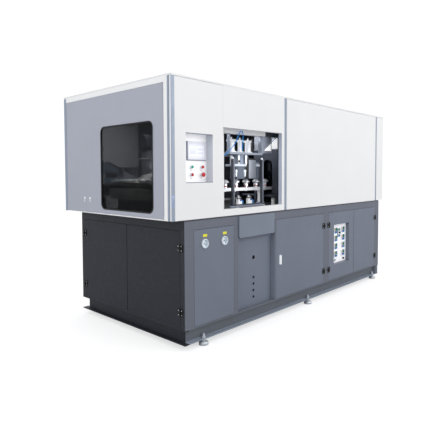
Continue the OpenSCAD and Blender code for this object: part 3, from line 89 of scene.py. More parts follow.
class Shader:
    """A material around one principled shader, with a few procedural helpers."""

    def __init__(self, name):
        self.mat = bpy.data.materials.new(name)
        self.mat.use_nodes = True
        self.tree = self.mat.node_tree
        self.tree.nodes.clear()
        self.out = self.add("ShaderNodeOutputMaterial")
        self.bsdf = self.add("ShaderNodeBsdfPrincipled")
        self.link(self.bsdf.outputs[0], self.out.inputs[0])
        self.coord = self.add("ShaderNodeTexCoord").outputs["Object"]

    def add(self, kind):
        return self.tree.nodes.new(kind)

    def link(self, a, b):
        self.tree.links.new(a, b)

    def noise(self, scale, detail=3.0, stretch=(1, 1, 1)):
        """Noise over the piece; a stretch of more than 1 along an axis makes it finer that way."""
        m = self.add("ShaderNodeMapping")
        put(m, "Scale", stretch)
        self.link(self.coord, m.inputs["Vector"])
        n = self.add("ShaderNodeTexNoise")
        put(n, "Scale", scale)
        put(n, "Detail", detail)
        put(n, "Roughness", NOISE_ROUGH)
        self.link(m.outputs[0], n.inputs["Vector"])
        return n.outputs[0]

    def ranged(self, value, low, high, a=0.3, b=0.7):
        """Maps a value between a and b to one between low and high."""
        r = self.add("ShaderNodeMapRange")
        put(r, "From Min", a)
        put(r, "From Max", b)
        put(r, "To Min", low)
        put(r, "To Max", high)
        self.link(value, r.inputs["Value"])
        return r.outputs["Result"]

    def mix(self, fac, a, b):
        """Mixes two colours, each a list or a socket."""
        m = self.add("ShaderNodeMix")
        m.data_type = "RGBA"
        sockets = [s for s in m.inputs if s.type == "RGBA"]
        for s, v in zip(sockets, (a, b)):
            if isinstance(v, list):
                s.default_value = v
            else:
                self.link(v, s)
        self.link(fac, [s for s in m.inputs if s.type == "VALUE"][0])
        return [s for s in m.outputs if s.type == "RGBA"][0]

    def math(self, op, a, b):
        """One operation on two values, each a number or a socket."""
        m = self.add("ShaderNodeMath")
        m.operation = op
        for s, v in zip(m.inputs, (a, b)):
            if isinstance(v, (int, float)):
                s.default_value = v
            else:
                self.link(v, s)
        return m.outputs[0]

    def along(self, vector, axis):
        """The part of a vector along one axis."""
        s = self.add("ShaderNodeSeparateXYZ")
        self.link(vector, s.inputs[0])
        return s.outputs["XYZ".index(axis)]

    def surface(self, name):
        return self.add("ShaderNodeNewGeometry").outputs[name]

    def bump(self, height, strength, distance):
        b = self.add("ShaderNodeBump")
        put(b, "Strength", strength)
        put(b, "Distance", distance)
        self.link(height, b.inputs["Height"])
        self.link(b.outputs[0], self.bsdf.inputs["Normal"])

    def colour(self, socket):
        self.link(socket, self.bsdf.inputs["Base Color"])

    def gloss(self, socket):
        self.link(socket, self.bsdf.inputs["Roughness"])


def tinted(s, col, masks):
    """Recolours by place. Each mask is (axis, drawing value in mm, "<" or ">", colour code).
    NX, NY and NZ are the parts of the way a face looks, from -1 to 1."""
    for axis, limit, side, other in masks:
        op = "LESS_THAN" if side == "<" else "GREATER_THAN"
        if axis[0] == "N":
            value = s.along(s.surface("True Normal"), axis[1])
        else:
            value, limit = s.along(s.coord, axis), (limit - MIDDLE[axis]) / MM
        col = s.mix(s.math(op, value, limit), col, linear(other))
    return col


def paint(name, code, rough, peel, mottle=0.04, dust=0.0, masks=()):
    """Powder coat: fine texture, a slow change of tone and of gloss, dust on what looks up."""
    s = Shader(name)
    base = linear(code)
    tone = s.ranged(s.noise(PANEL_TONE, 4.0), 0.0, 1.0)
    col = s.mix(tone, shade(base, 1 - mottle), shade(base, 1 + mottle))
    if dust:
        up = s.along(s.surface("Normal"), "Z")
        fac = s.math("MULTIPLY", s.ranged(up, 0.0, dust, 0.3, 1.0), s.noise(DUST_PATCH, 5.0))
        col = s.mix(fac, col, linear(DUST))
    s.colour(tinted(s, col, masks))
    s.gloss(s.ranged(s.noise(PANEL_GLOSS, 4.0), rough - 0.07, rough + 0.07))
    s.bump(s.noise(PANEL_PEEL, 2.0), peel, PEEL_DEPTH)
    return s.mat


def metal(name, code, rough, stretch, scale, brush, masks=(), metallic=1.0):
    """Bare metal: brushed along one axis, with smudges in its gloss."""
    s = Shader(name)
    base = linear(code)
    lines = s.noise(scale, 3.0, stretch)
    col = s.mix(s.ranged(lines, 0.0, 1.0), shade(base, 0.93), shade(base, 1.06))
    s.colour(tinted(s, col, masks))
    put(s.bsdf, "Metallic", metallic)
    s.gloss(s.ranged(s.noise(SMUDGE, 5.0), rough - 0.08, rough + 0.10))
    s.bump(lines, brush, FINE_DEPTH)
    return s.mat


def plastic(name, code, rough, peel, glow=0.0, mottle=0.03, masks=()):
    """Moulded plastic or print; a small glow is painted light that brightens a part, except on the
    screens and oven lamps, whose glow is their own light.
    """
    s = Shader(name)
    base = linear(code)
    tone = s.ranged(s.noise(MOULDED_TONE), 0.0, 1.0)
    col = s.mix(tone, shade(base, 1 - mottle), shade(base, 1 + mottle))
    s.colour(tinted(s, col, masks))
    s.gloss(s.ranged(s.noise(MOULDED_GLOSS), rough - 0.05, rough + 0.06))
    s.bump(s.noise(MOULDED_GRAIN, 2.0), peel, FINE_DEPTH)
    if glow:
        put(s.bsdf, "Emission Color", base)
        put(s.bsdf, "Emission Strength", glow)
    return s.mat


def pane(name, tint):
    """A clear or smoked sheet: lets light through by its tint, mirrors more at a flat angle."""
    s = Shader(name)
    s.tree.nodes.remove(s.bsdf)
    clear = s.add("ShaderNodeBsdfTransparent")
    put(clear, "Color", list(tint) + [1.0])
    mirror = s.add("ShaderNodeBsdfGlossy")
    put(mirror, "Color", [0.9, 0.92, 0.95, 1.0])
    s.link(s.ranged(s.noise(PANE_SMEAR, 4.0), *PANE_ROUGH), mirror.inputs["Roughness"])
    look = s.add("ShaderNodeLayerWeight")
    put(look, "Blend", PANE_FACING)
    fac = s.ranged(look.outputs["Fresnel"], *PANE_MIRROR, 0.0, 1.0)
    m = s.add("ShaderNodeMixShader")
    s.link(fac, m.inputs[0])
    s.link(clear.outputs[0], m.inputs[1])
    s.link(mirror.outputs[0], m.inputs[2])
    s.link(m.outputs[0], s.out.inputs[0])
    return s.mat


COVER = "#f0f0f0"
DARK_END = "#1f232b"
HINGE = ("Y", -0.2, "<", "#0d0d0f")     # leaves that stand before the cabinet's front
# Name, colour, roughness and depth of texture; a metal has the stretch, scale and depth of its brushing
M = {
    # Faces that look left get a lighter grey, painted light on the bays' shaded side walls; the
    # cabinet's left end keeps its dark paint.
    "frame": paint("frame_grey", "#666b77", 0.5, 0.25, dust=0.12,
                   masks=[("NX", -0.5, "<", "#868c9a"), ("X", 0.5, "<", DARK_END)]),
    # Below 62 mm the channel's lower flange is painted a lighter blue-grey as a painted highlight.
    "base": paint("base_grey", "#62676f", 0.52, 0.25, dust=0.1,
                  masks=[("Z", 62.0, "<", "#8d96a4"), ("X", 46.0, "<", DARK_END)]),
    "door": paint("door_grey", "#6f7684", 0.47, 0.25),
    "door_y": paint("door_grey_hinged", "#6f7684", 0.47, 0.25, masks=[HINGE]),
    "chute": paint("chute_grey", "#78818f", 0.45, 0.22),
    "end": paint("end_dark", "#1b1f29", 0.5, 0.25, mottle=0.02,
                 masks=[("X", -0.2, "<", "#06080d")]),
    "bed": paint("bed_dark", "#3c3f47", 0.45, 0.15, dust=0.3),
    "hinge": paint("hinge_black", "#0e0e10", 0.38, 0.10),
    "white": paint("cover_white", COVER, 0.40, 0.10, mottle=0.012),
    # The opening's sideways-facing jambs are painted blue-grey as painted shade on white.
    "opening": paint("opening_white", COVER, 0.40, 0.10, mottle=0.012,
                     masks=[("NX", -0.5, "<", "#d2d8e7"), ("NX", 0.5, ">", "#d2d8e7")]),
    "panels": paint("panels_white", COVER, 0.40, 0.10, mottle=0.012,
                    masks=[("Y", 1611.4, "<", "#5c6069"), ("X", 765.0, "<", COVER),
                           ("X", 3607.5, ">", COVER)]),
    # In the control recess the walls are painted grey as painted shade and the back a brighter white as
    # painted light.
    "control": paint("control_white", COVER, 0.40, 0.10, mottle=0.012,
                     masks=[("Y", 1.9, ">", "#d2d6de"), ("Y", 77.0, ">", "#ffffff")]),
    # Left of -110 mm the frame, the post by the guard door, is painted a brighter white as painted
    # light.
    "inner_white": paint("tube_white", "#dfe2e6", 0.42, 0.10, mottle=0.03,
                         masks=[("X", -110.0, "<", "#fcfcfc")]),
    # Beyond 1150 mm the white beam is painted dark grey, painted shade that sinks it into the dark
    # inside.
    "beam": paint("beam_white", "#fafafa", 0.35, 0.08, mottle=0.02,
                  masks=[("X", 1150.0, ">", "#34373f")]),
    "guard": paint("guard_grey", "#aeb2be", 0.42, 0.15, mottle=0.015),
    "post": metal("post_aluminium", "#9fa9ba", 0.45, (30, 30, 1), 60.0, 0.03, metallic=0.35),
    "zinc": metal("foot_zinc", "#d3d8de", 0.36, (1, 1, 6), 60.0, 0.05, metallic=0.45),
    "chrome": metal("chrome", "#dfe3e8", 0.14, (1, 1, 8), 30.0, 0.01),
    "steel": metal("steel_bright", "#d2d7dd", 0.30, (1, 1, 40), 30.0, 0.04, metallic=0.8),
    "rim": metal("gauge_rim", "#eef2f5", 0.38, (1, 1, 8), 30.0, 0.02, metallic=0.4),
    "alloy": metal("alloy_milled", "#9da4b0", 0.34, (40, 1, 1), 30.0, 0.05, metallic=0.7,
                   masks=[("X", 1118.0, ">", "#a6acb9")]),
    "alloy_light": metal("alloy_anodised", "#eceef1", 0.42, (20, 20, 1), 30.0, 0.03, metallic=0.3),
    "head": metal("head_alloy", "#8791a1", 0.40, (40, 1, 1), 30.0, 0.05, metallic=0.6,
                  masks=[("Z", 1487.2, "<", "#c9cfd8"), ("Z", 1466.2, "<", "#5f6773")]),
    "platen": metal("platen_steel", "#474b54", 0.36, (3, 3, 3), 40.0, 0.06, metallic=0.8),
    "plate": metal("head_plate", "#80858f", 0.45, (60, 1, 1), 30.0, 0.08, metallic=0.4),
    "foot_bar": paint("foot_bar", "#858c9b", 0.45, 0.15),
    "mould": metal("mould_steel", "#4c4f56", 0.34, (40, 1, 1), 26.0, 0.06),
    "portal": paint("portal_dark", "#2f323c", 0.38, 0.12, masks=[("Z", 1529.5, ">", "#dfe3e9")]),
    # The handle glows, painted light that brightens it.
    "handle": plastic("handle_zinc", "#fbfcfd", 0.30, 0.02, glow=0.16),
    "rail": metal("rail_alloy", "#f0f2f4", 0.42, (1, 60, 60), 20.0, 0.03, metallic=0.3),
    "oven": metal("oven_sheet", "#9aa0a8", 0.34, (60, 1, 1), 20.0, 0.05),
    "cap": metal("cap_steel", "#e9ecf2", 0.24, (1, 1, 40), 30.0, 0.03, metallic=0.55),
    "rotor": metal("rotor_sheet", "#b8bcc4", 0.32, (1, 1, 1), 60.0, 0.04),
    "rubber": plastic("rubber_black", "#121213", 0.62, 0.25),
    "black": plastic("plastic_black", "#151517", 0.38, 0.08),
    "mat": plastic("filter_mat", "#4a4d52", 0.8, 0.6),
    "cream": plastic("plastic_cream", "#cfcdc4", 0.40, 0.06),
    # The table's apron glows, painted light on a side that the lamps reach only at a grazing angle.
    "cream_dark": plastic("table_olive", "#97978b", 0.45, 0.12, glow=0.24),
    # The meter plate glows, painted light that brightens it.
    "meter_body": plastic("meter_plate", "#f7f7fb", 0.35, 0.05, glow=0.14, mottle=0.01,
                          masks=[("Y", 42.9, "<", "#c9cfd0")]),
    # The housing's left strip and bottom are painted dark as painted shade along its sides.
    "housing": plastic("screen_housing", "#e6e8f0", 0.36, 0.05,
                       masks=[("X", 103.5, "<", "#4a5169"), ("Z", 1511.0, "<", "#5a617a")]),
    # Grey for painted shade along the control recess's edges.
    "recess_shade_strip": paint("recess_shade_strip", "#7e8492", 0.45, 0.1),
    # The recess's back sheet glows, painted light that keeps it bright.
    "recess_white": plastic("recess_white", "#fafafa", 0.42, 0.05, glow=0.20, mottle=0.01),
    "green": plastic("button_green", "#17a58c", 0.25, 0.02),
    "red": plastic("button_red", "#c8202b", 0.25, 0.02),
    "tank": paint("tank_blue", "#3d6fa5", 0.30, 0.08),
    # The blue tubes glow, painted light that brightens them.
    "tube": plastic("tube_blue", "#1c8fe0", 0.28, 0.01, glow=0.10),
    "infeed": paint("infeed_olive", "#5a5d69", 0.45, 0.15, dust=0.2,
                    masks=[("Y", 899.0, ">", "#d4d6d8"), ("Y", 901.0, ">", "#b4c8d6"),
                           ("X", 62.0, ">", "#6a6d74"), ("Z", 1604.0, ">", "#34353c"),
                           ("Z", 1311.9, "<", "#8f9084"), ("Z", 1168.0, "<", "#4c505c")]),
    "tray": paint("tray_blue", "#c0d6e4", 0.40, 0.10),
    "galvanised": metal("galvanised_sheet", "#b4bac6", 0.40, (3, 3, 3), 30.0, 0.03, metallic=0.5),
    # This white glows, painted light on white sheets and parts that lie in shade.
    "sheet_lit": plastic("sheet_bright", "#fbfbfb", 0.40, 0.06, glow=0.35, mottle=0.01),
    "sheet": paint("sheet_white", "#fbfbfb", 0.40, 0.08, mottle=0.01),
    "yellow": plastic("label_yellow", "#f0ea2e", 0.42, 0.02, mottle=0.02),
    # The dials, meter faces, labels and preform necks glow, painted light that brightens them.
    "dial": plastic("dial_white", "#f2f8fc", 0.45, 0.01, glow=0.12),
    "ink": plastic("ink_black", "#17181a", 0.5, 0.01),
    "blue": plastic("plastic_blue", "#2445b8", 0.30, 0.03),
    "clip": plastic("clip_blue", "#a3bbe6", 0.30, 0.03),
    "lens": pane("lens_clear", (0.96, 0.98, 1.0)),
    "smoke": pane("window_smoke", (0.218, 0.222, 0.229)),
    "lamp": plastic("lamp_quartz", "#f0dcae", 0.15, 0.01, glow=0.15),
    "screen": plastic("screen_pale", "#f4f4fa", 0.15, 0.01, glow=0.14),
    "screen_line": plastic("screen_lilac", "#e3e5f2", 0.2, 0.01, glow=0.12),
    "teal": plastic("meter_teal", "#0f8378", 0.3, 0.02),
    "teal_deep": plastic("meter_teal_deep", "#123a44", 0.3, 0.02),
    "amber": plastic("meter_amber", "#c99a55", 0.35, 0.02),
    "meter_blue": plastic("meter_blue", "#1c6ab8", 0.3, 0.02),
    "orange": plastic("wire_orange", "#c2622b", 0.4, 0.02),
    "pink": plastic("label_pale", "#e7c9cd", 0.45, 0.02),
}
LOOK = {
    "base_frame": "base", "levelling_feet": "zinc", "cabinet_frame": "frame",
    "cabinet_panels": "frame", "gauge_panel": "door", "port_panel": "door",
    "port_grommets": "rubber", "chute_cover": "chute", "machine_bed": "bed",
    "frame_hinge_leaves": "hinge", "gauge_cases": "rim", "gauge_lenses": "lens",
    "left_pointer": "ink", "right_pointer": "ink", "electrical_plate": "cream", "air_tank": "tank",
    "end_door_front": "end", "end_door_rear": "end", "service_door": "door_y",
    "service_handle": "handle", "meter_door": "door_y", "meter_panel": "meter_body",
    "selector_knob": "black", "heat_knob": "black", "right_door": "door_y",
    "enclosure_frame": "inner_white", "corner_posts": "post", "control_panel": "control",
    "touch_screen": "housing", "button_bezels": "chrome", "start_button": "green",
    "stop_button": "red", "reset_button": "red", "emergency_stop": "red",
    "opening_frame": "opening", "front_cover": "white", "enclosure_panels": "panels",
    "roof": "white", "guard_door": "guard", "guard_window": "smoke", "window_seal": "rubber",
    "transfer_portal": "portal", "top_beam": "beam", "transfer_bridge": "alloy",
    "transfer_cylinders": "alloy_light", "transfer_head": "head", "air_tubes": "tube",
    "front_platen": "platen", "front_mould": "mould", "rear_platen": "platen",
    "rear_mould": "mould", "clamp_frame": "platen", "lift_cylinders": "sheet",
    "stretch_rods": "chrome", "conveyor_rail": "rail", "mandrels": "chrome", "oven": "oven",
    "oven_lamps": "lamp", "fan_rotor": "rotor", "infeed_table": "infeed",
}
ASKEW = Vector((0.2, 0.9, 0.3))     # a way that no hose starts in
CAD_EDGE, PIECE_EDGE = 28, 32       # degrees from which an edge stays crisp
WELD = 0.00001                      # metres, far below the smallest detail
for name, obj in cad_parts.items():
    obj.data.materials.clear()
    obj.data.materials.append(M[LOOK[name]])
    obj.data.polygons.foreach_set("use_smooth", [True] * len(obj.data.polygons))
    obj.modifiers.new("weld", "WELD").merge_threshold = WELD
    sharpen(obj, CAD_EDGE)


# ---------------------------------------------------------------- shapes
TURN = {
    "+z": Matrix.Identity(3),
    "-y": Matrix.Rotation(math.pi / 2, 3, "X"), "+y": Matrix.Rotation(-math.pi / 2, 3, "X"),
    "+x": Matrix.Rotation(math.pi / 2, 3, "Y"), "-x": Matrix.Rotation(-math.pi / 2, 3, "Y"),
}


def rod(r, h, start=0):
    """Lathe profile of a closed cylinder."""
    return [(0, start), (r, start), (r, h), (0, h)]


def ring(inner, outer, low, high):
    """Lathe profile of a ring that sits round something else."""
    return [(inner, low), (outer, low), (outer, high), (inner, high)]


class Piece:
    """Several shapes in one mesh that rides on a CAD body, in the drawing's millimetres."""

    def __init__(self, name, body):
        self.name, self.body, self.bm, self.mats = name, body, bmesh.new(), []

    def mark(self, faces, mat, smooth=True):
        """Gives faces a material."""
        if mat not in self.mats:
            self.mats.append(mat)
        for f in faces:
            f.material_index = self.mats.index(mat)
            f.smooth = smooth

    def ease(self, faces, r):
        """Rounds every edge of the given faces."""
        if r:
            edges = list({e for f in faces for e in f.edges})
            bmesh.ops.bevel(self.bm, geom=edges, offset=r / MM, segments=2, profile=0.5, affect="EDGES")

    def box(self, x, y, z, mat, r=0.0):
        """A box between two values along each axis, its edges rounded by r."""
        lo, hi = at(x[0], y[0], z[0]), at(x[1], y[1], z[1])
        vs = [self.bm.verts.new([(hi if i & (1 << k) else lo)[k] for k in range(3)]) for i in range(8)]
        quads = [(0, 2, 3, 1), (4, 5, 7, 6), (0, 1, 5, 4), (2, 6, 7, 3), (0, 4, 6, 2), (1, 3, 7, 5)]
        faces = [self.bm.faces.new([vs[i] for i in q]) for q in quads]
        self.mark(faces, mat)
        self.ease(faces, r)

    def slab(self, outline, axis, side, mat, r):
        """A flat outline of two-value points, thick along the axis between the two side values."""
        rows = []
        for v in side:
            points = [(v, a, b) if axis == "X" else (a, v, b) for a, b in outline]
            rows.append([self.bm.verts.new(at(*q)) for q in points])
        near, far = rows
        faces = [self.bm.faces.new(near), self.bm.faces.new(list(reversed(far)))]
        n = len(outline)
        for i in range(n):
            j = (i + 1) % n
            faces.append(self.bm.faces.new([near[i], far[i], far[j], near[j]]))
        self.mark(faces, mat)
        self.ease(faces, r)

    def lathe(self, point, axis, profile, mat, n=24):
        """Revolves (radius, height) pairs about an axis; a radius of 0 closes the end."""
        o, t = at(*point), TURN[axis]
        turns = [(math.cos(2 * math.pi * i / n), math.sin(2 * math.pi * i / n)) for i in range(n)]
        rings = []
        for r, h in profile:
            places = [Vector((r * c / MM, r * s / MM, h / MM)) for c, s in (turns if r else turns[:1])]
            rings.append([self.bm.verts.new(o + t @ v) for v in places])
        faces = []
        for a, b in zip(rings, rings[1:]):
            for i in range(n):
                j = (i + 1) % n
                q = [a[i % len(a)], a[j % len(a)], b[j % len(b)], b[i % len(b)]]
                q = [v for k, v in enumerate(q) if v not in q[:k]]
                if len(q) > 2:
                    faces.append(self.bm.faces.new(q))
        self.mark(faces, mat)

    def sweep(self, points, d, mat, n=10, steps=6):
        """A round hose or wire of diameter d along a smooth curve through the points."""
        p = [at(*q) for q in points]
        p = [2 * p[0] - p[1]] + p + [2 * p[-1] - p[-2]]
        path = []
        for i in range(1, len(p) - 2):
            for k in range(steps):
                t = k / steps
                a, b, c, e = p[i - 1:i + 3]
                # Catmull-Rom curve from b to c
                path.append(0.5 * (2 * b + (c - a) * t + (2 * a - 5 * b + 4 * c - e) * t * t
                                   + (3 * b - a - 3 * c + e) * t ** 3))
        path.append(p[-2])
        side = None
        rings = []
        for i, q in enumerate(path):
            tan = (path[min(i + 1, len(path) - 1)] - path[max(i - 1, 0)]).normalized()
            if side is None:
                side = tan.cross(ASKEW).normalized()
            side = (side - tan * side.dot(tan)).normalized()
            other = tan.cross(side)
            rings.append([self.bm.verts.new(q + (side * math.cos(2 * math.pi * k / n)
                                                 + other * math.sin(2 * math.pi * k / n)) * d / 2 / MM)
                          for k in range(n)])
        faces = [self.bm.faces.new(list(reversed(rings[0]))), self.bm.faces.new(rings[-1])]
        for a, b in zip(rings, rings[1:]):
            faces += [self.bm.faces.new([a[k], a[(k + 1) % n], b[(k + 1) % n], b[k]]) for k in range(n)]
        self.mark(faces, mat)

    def screw(self, point, axis, mat, d, h):
        """Pan head with a hexagon socket."""
        r, socket = d / 2, d / 2 * 0.45
        head = [(r, 0), (r, h * 0.55), (r * 0.92, h * 0.85), (r * 0.75, h), (socket, h)]
        self.lathe(point, axis, head, mat, 18)
        self.lathe(point, axis, [(socket, h), (r * 0.42, h * 0.3), (0, h * 0.3)], M["black"], 6)

    def arc(self, centre, r0, r1, a0, a1, y, mat, n):
        """A flat ring sector that faces the front; degrees, anticlockwise from the right."""
        pts = []
        for i in range(n + 1):
            a = math.radians(a0 + (a1 - a0) * i / n)
            places = [at(centre[0] + r * math.cos(a), y, centre[1] + r * math.sin(a)) for r in (r0, r1)]
            pts.append([self.bm.verts.new(v) for v in places])
        faces = [self.bm.faces.new([a[0], a[1], b[1], b[0]]) for a, b in zip(pts, pts[1:])]
        self.mark(faces, mat, False)

    def done(self):
        """Makes the object and lets it ride on its body."""
        bmesh.ops.recalc_face_normals(self.bm, faces=self.bm.faces)
        mesh = bpy.data.meshes.new(self.name)
        self.bm.to_mesh(mesh)
        self.bm.free()
        for m in self.mats:
            mesh.materials.append(m)
        obj = bpy.data.objects.new(self.name, mesh)
        scene.collection.objects.link(obj)
        sharpen(obj, PIECE_EDGE)
        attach(obj, self.body)
        return obj


# ---------------------------------------------------------------- gauges
GAUGE_X, GAUGE_Z = (222.0, 456.0), 834.0
DIAL_Y, PRINT_Y = 7.9, 7.35             # behind the cabinet's front
TICK_END = 27.2                         # radius
SCALE_START, SCALE_END, TICKS = 225, -45, 27        # degrees, anticlockwise from the right
p = Piece("gauge_dials", "machine")
for gx in GAUGE_X:
    p.lathe((gx, DIAL_Y, GAUGE_Z), "-y", [(30.6, 0), (30.6, 0.4), (2.2, 0.4)], M["dial"], 48)
    for i in range(TICKS + 1):
        a = math.radians(SCALE_START - (SCALE_START - SCALE_END) * i / TICKS)
        c, s = math.cos(a), math.sin(a)
        start, half = (21.0, 0.75) if i % 3 == 0 else (24.0, 0.4)
        quad = [(start, -half), (TICK_END, -half), (TICK_END, half), (start, half)]
        places = [at(gx + r * c - q * s, PRINT_Y, GAUGE_Z + r * s + q * c) for r, q in quad]
        p.mark([p.bm.faces.new([p.bm.verts.new(v) for v in places])], M["ink"], False)
    p.arc((gx, GAUGE_Z), 27.6, 28.8, SCALE_END, SCALE_START, PRINT_Y, M["ink"], 40)
    p.arc((gx, GAUGE_Z), 17.5, 19.0, 60, 180, PRINT_Y, M["green"], 16)
    p.arc((gx, GAUGE_Z), 17.5, 19.0, SCALE_END, 0, PRINT_Y, M["red"], 10)
p.done()

p = Piece("gauge_labels", "machine")
for x, z in (((202, 249), (889, 910)), ((438, 483), (887, 908))):
    p.box(x, (-0.7, 0.0), z, M["yellow"], 0.25)
p.done()

# ---------------------------------------------------------------- screws of the hinges
HINGE_ZS = (308.0, 816.0)
LEAF_FACE = -5.0        # the leaves' outer face, before the cabinet's front and before its left end
PIN_TO_SCREW, SCREW_UP = 17.6, 18


def hinge_screws(title, body, pin, side, on_end):
    """Two screws on the same leaf of both hinges; side is the way from the pin to that leaf."""
    p = Piece("%s_%s_%d" % (title, body, pin), body)
    along = pin + side * PIN_TO_SCREW
    for z in HINGE_ZS:
        for dz in (-SCREW_UP, SCREW_UP):
            point = (LEAF_FACE, along, z + dz) if on_end else (along, LEAF_FACE, z + dz)
            # The heads are white paint, a painted highlight that stands for the shine of bright screws.
            p.screw(point, "-x" if on_end else "-y", M["sheet"], 7.2, 1.4)
    p.done()


for body, pin, side in (("machine", 2083, 1), ("service_door", 2083, -1), ("machine", 2190, -1),
                        ("meter_door", 2190, 1), ("machine", 3386, 1), ("right_door", 3386, -1)):
    hinge_screws("hinge_screws", body, pin, side, False)
for body, pin, side in (("machine", 50, -1), ("end_door_front", 50, 1), ("machine", 1470, 1),
                        ("end_door_rear", 1470, -1)):
    hinge_screws("end_hinge_screws", body, pin, side, True)

# ---------------------------------------------------------------- control recess
RECESS_X, RECESS_Z = (21.6, 319.6), (1326.6, 1716.6)
RECESS_BACK = 78.0
BUTTON_XS = (148, 262)
BUTTON_ZS = (1391, 1453)
BUTTON_GAP = 10.5       # half the width of the sheet's openings, hidden by the bezels
BACK_SHEET = (77.45, 77.95)

p = Piece("screen_glass", "machine")
p.box((121.6, 288.4), (69.0, 70.0), (1529.6, 1634.4), M["screen"], 0.3)
FIELDS = (68.75, 69.0)
p.box((124, 286), FIELDS, (1622, 1632), M["screen_line"])
for k in range(4):
    p.box((128 + 40 * k, 160 + 40 * k), FIELDS, (1533, 1541), M["screen_line"], 0.1)
for x, z in (((130, 200), (1556, 1612)), ((208, 280), (1586, 1612)), ((208, 280), (1556, 1578))):
    p.box(x, FIELDS, z, M["screen_line"], 0.1)
p.done()

p = Piece("button_plates", "machine")
for x in BUTTON_XS:
    for z in (1427, 1363):
        p.box((x - 11, x + 11), (77.3, RECESS_BACK), (z - 3.5, z + 3.5), M["pink"], 0.2)
p.done()

# The white sheet leaves the four plungers free behind their bezels
p = Piece("recess_back", "machine")
gaps_z = [z + d for z in BUTTON_ZS for d in (-BUTTON_GAP, BUTTON_GAP)]
levels = [RECESS_Z[0]] + gaps_z + [RECESS_Z[1]]
for z0, z1 in zip(levels[::2], levels[1::2]):
    p.box(RECESS_X, BACK_SHEET, (z0, z1), M["recess_white"], 0.02)
gaps_x = [x + d for x in BUTTON_XS for d in (-BUTTON_GAP, BUTTON_GAP)]
places = [RECESS_X[0]] + gaps_x + [RECESS_X[1]]
for z0, z1 in zip(gaps_z[::2], gaps_z[1::2]):
    for x0, x1 in zip(places[::2], places[1::2]):
        p.box((x0, x1), BACK_SHEET, (z0, z1), M["recess_white"], 0.02)
# Grey strips along the recess's bottom and top edges are painted shade.
p.box((21.4, 319.6), (0.6, 2.4), (1326.2, 1332.0), M["recess_shade_strip"], 0.1)
p.box((21.4, 319.6), (0.6, 30.0), (1714.0, 1716.9), M["recess_shade_strip"], 0.1)
p.done()

p = Piece("recess_screws", "machine")
for z in (1352, 1521, 1690):
    p.screw((320.0, 40.0, z), "-x", M["steel"], 7, 2)
for x in (88, 308):
    for z in (1690, 1352):
        p.screw((x, RECESS_BACK, z), "-y", M["steel"], 7, 2)
p.done()

# ---------------------------------------------------------------- guard door and corner
DOOR_FACE = -125.0      # the guard door's outer face
WIRE_X = DOOR_FACE - 0.3
CATCH_Z = 1166

p = Piece("guard_catches", "guard_door")
cap = [(0, 0), (12, 0), (12, 0.6), (10, 0.9), (0, 0.9)]
for y, turn in ((1245, 1), (1153, -1)):
    p.lathe((DOOR_FACE, y, CATCH_Z + 10), "-x", cap, M["sheet"])
    turns = [math.pi * k / 8 for k in range(9)]
    hook = [(WIRE_X, y + turn * 17 * math.cos(a), CATCH_Z + 20 * math.sin(a)) for a in turns]
    p.sweep([(WIRE_X, y + turn * 14, CATCH_Z - 24)] + hook, 1.3, M["rim"], 8, 3)
    p.box((DOOR_FACE - 0.9, DOOR_FACE), (y - 5, y + 5), (CATCH_Z - 28, CATCH_Z - 4), M["rim"], 0.3)
p.done()

# A thin white strip down the front left corner, a painted highlight on its rounded edge.
p = Piece("corner_line", "machine")
p.box((DOOR_FACE - 0.6, DOOR_FACE), (3, 16), (1042, 2130), M["beam"], 0.2)
p.done()

p = Piece("corner_clip", "machine")
p.box((-124.5, -98), (-4, 0), (1150, 1233), M["clip"], 1.5)
p.box((-121, -102), (-5.5, -4), (1158, 1225), M["post"], 1.0)
for z in (1170, 1213):
    p.screw((-111, -5.5, z), "-y", M["steel"], 6, 1.6)
p.done()

# ---------------------------------------------------------------- meter door
METER_XS, METER_Z, METER_STEP = (2381, 2555), 422, 92
METER_PLATE = 43.0      # the white plate's face, behind the cabinet's front

p = Piece("meter_faces", "meter_door")
for mx in METER_XS:
    for k in range(4):
        z = METER_Z + METER_STEP * k
        p.box((mx - 1, mx + 63), (29.0, 31.0), (z - 3, z + 65), M["dial"], 0.8)
        p.box((mx, mx + 13), (28.0, 29.0), (z + 22, z + 64), M["amber"], 0.3)
        p.box((mx + 14, mx + 62), (28.2, 29.0), (z + 24, z + 64), M["teal"], 0.3)
        p.box((mx + 22, mx + 54), (27.9, 28.2), (z + 36, z + 50), M["teal_deep"], 0.2)
        p.box((mx, mx + 62), (28.3, 29.0), (z - 2, z + 23), M["meter_blue"], 0.3)
        p.box((mx + 30, mx + 46), (27.7, 28.3), (z + 7, z + 18), M["teal_deep"], 0.3)
# plates round the selector switch
p.box((2464, 2532), (39.5, METER_PLATE), (645, 749), M["teal_deep"], 1.0)
p.box((2476.5, 2519.5), (36.3, 37.0), (649.5, 744.5), M["dial"], 0.3)
p.box((2479, 2517), (35.6, 36.3), (718, 743), M["teal"], 0.3)
p.box((2479, 2517), (35.6, 36.3), (651, 676), M["meter_blue"], 0.3)
for z in (724, 732, 740):
    p.box((2482, 2514), (35.2, 35.6), (z - 2, z), M["ink"], 0.1)
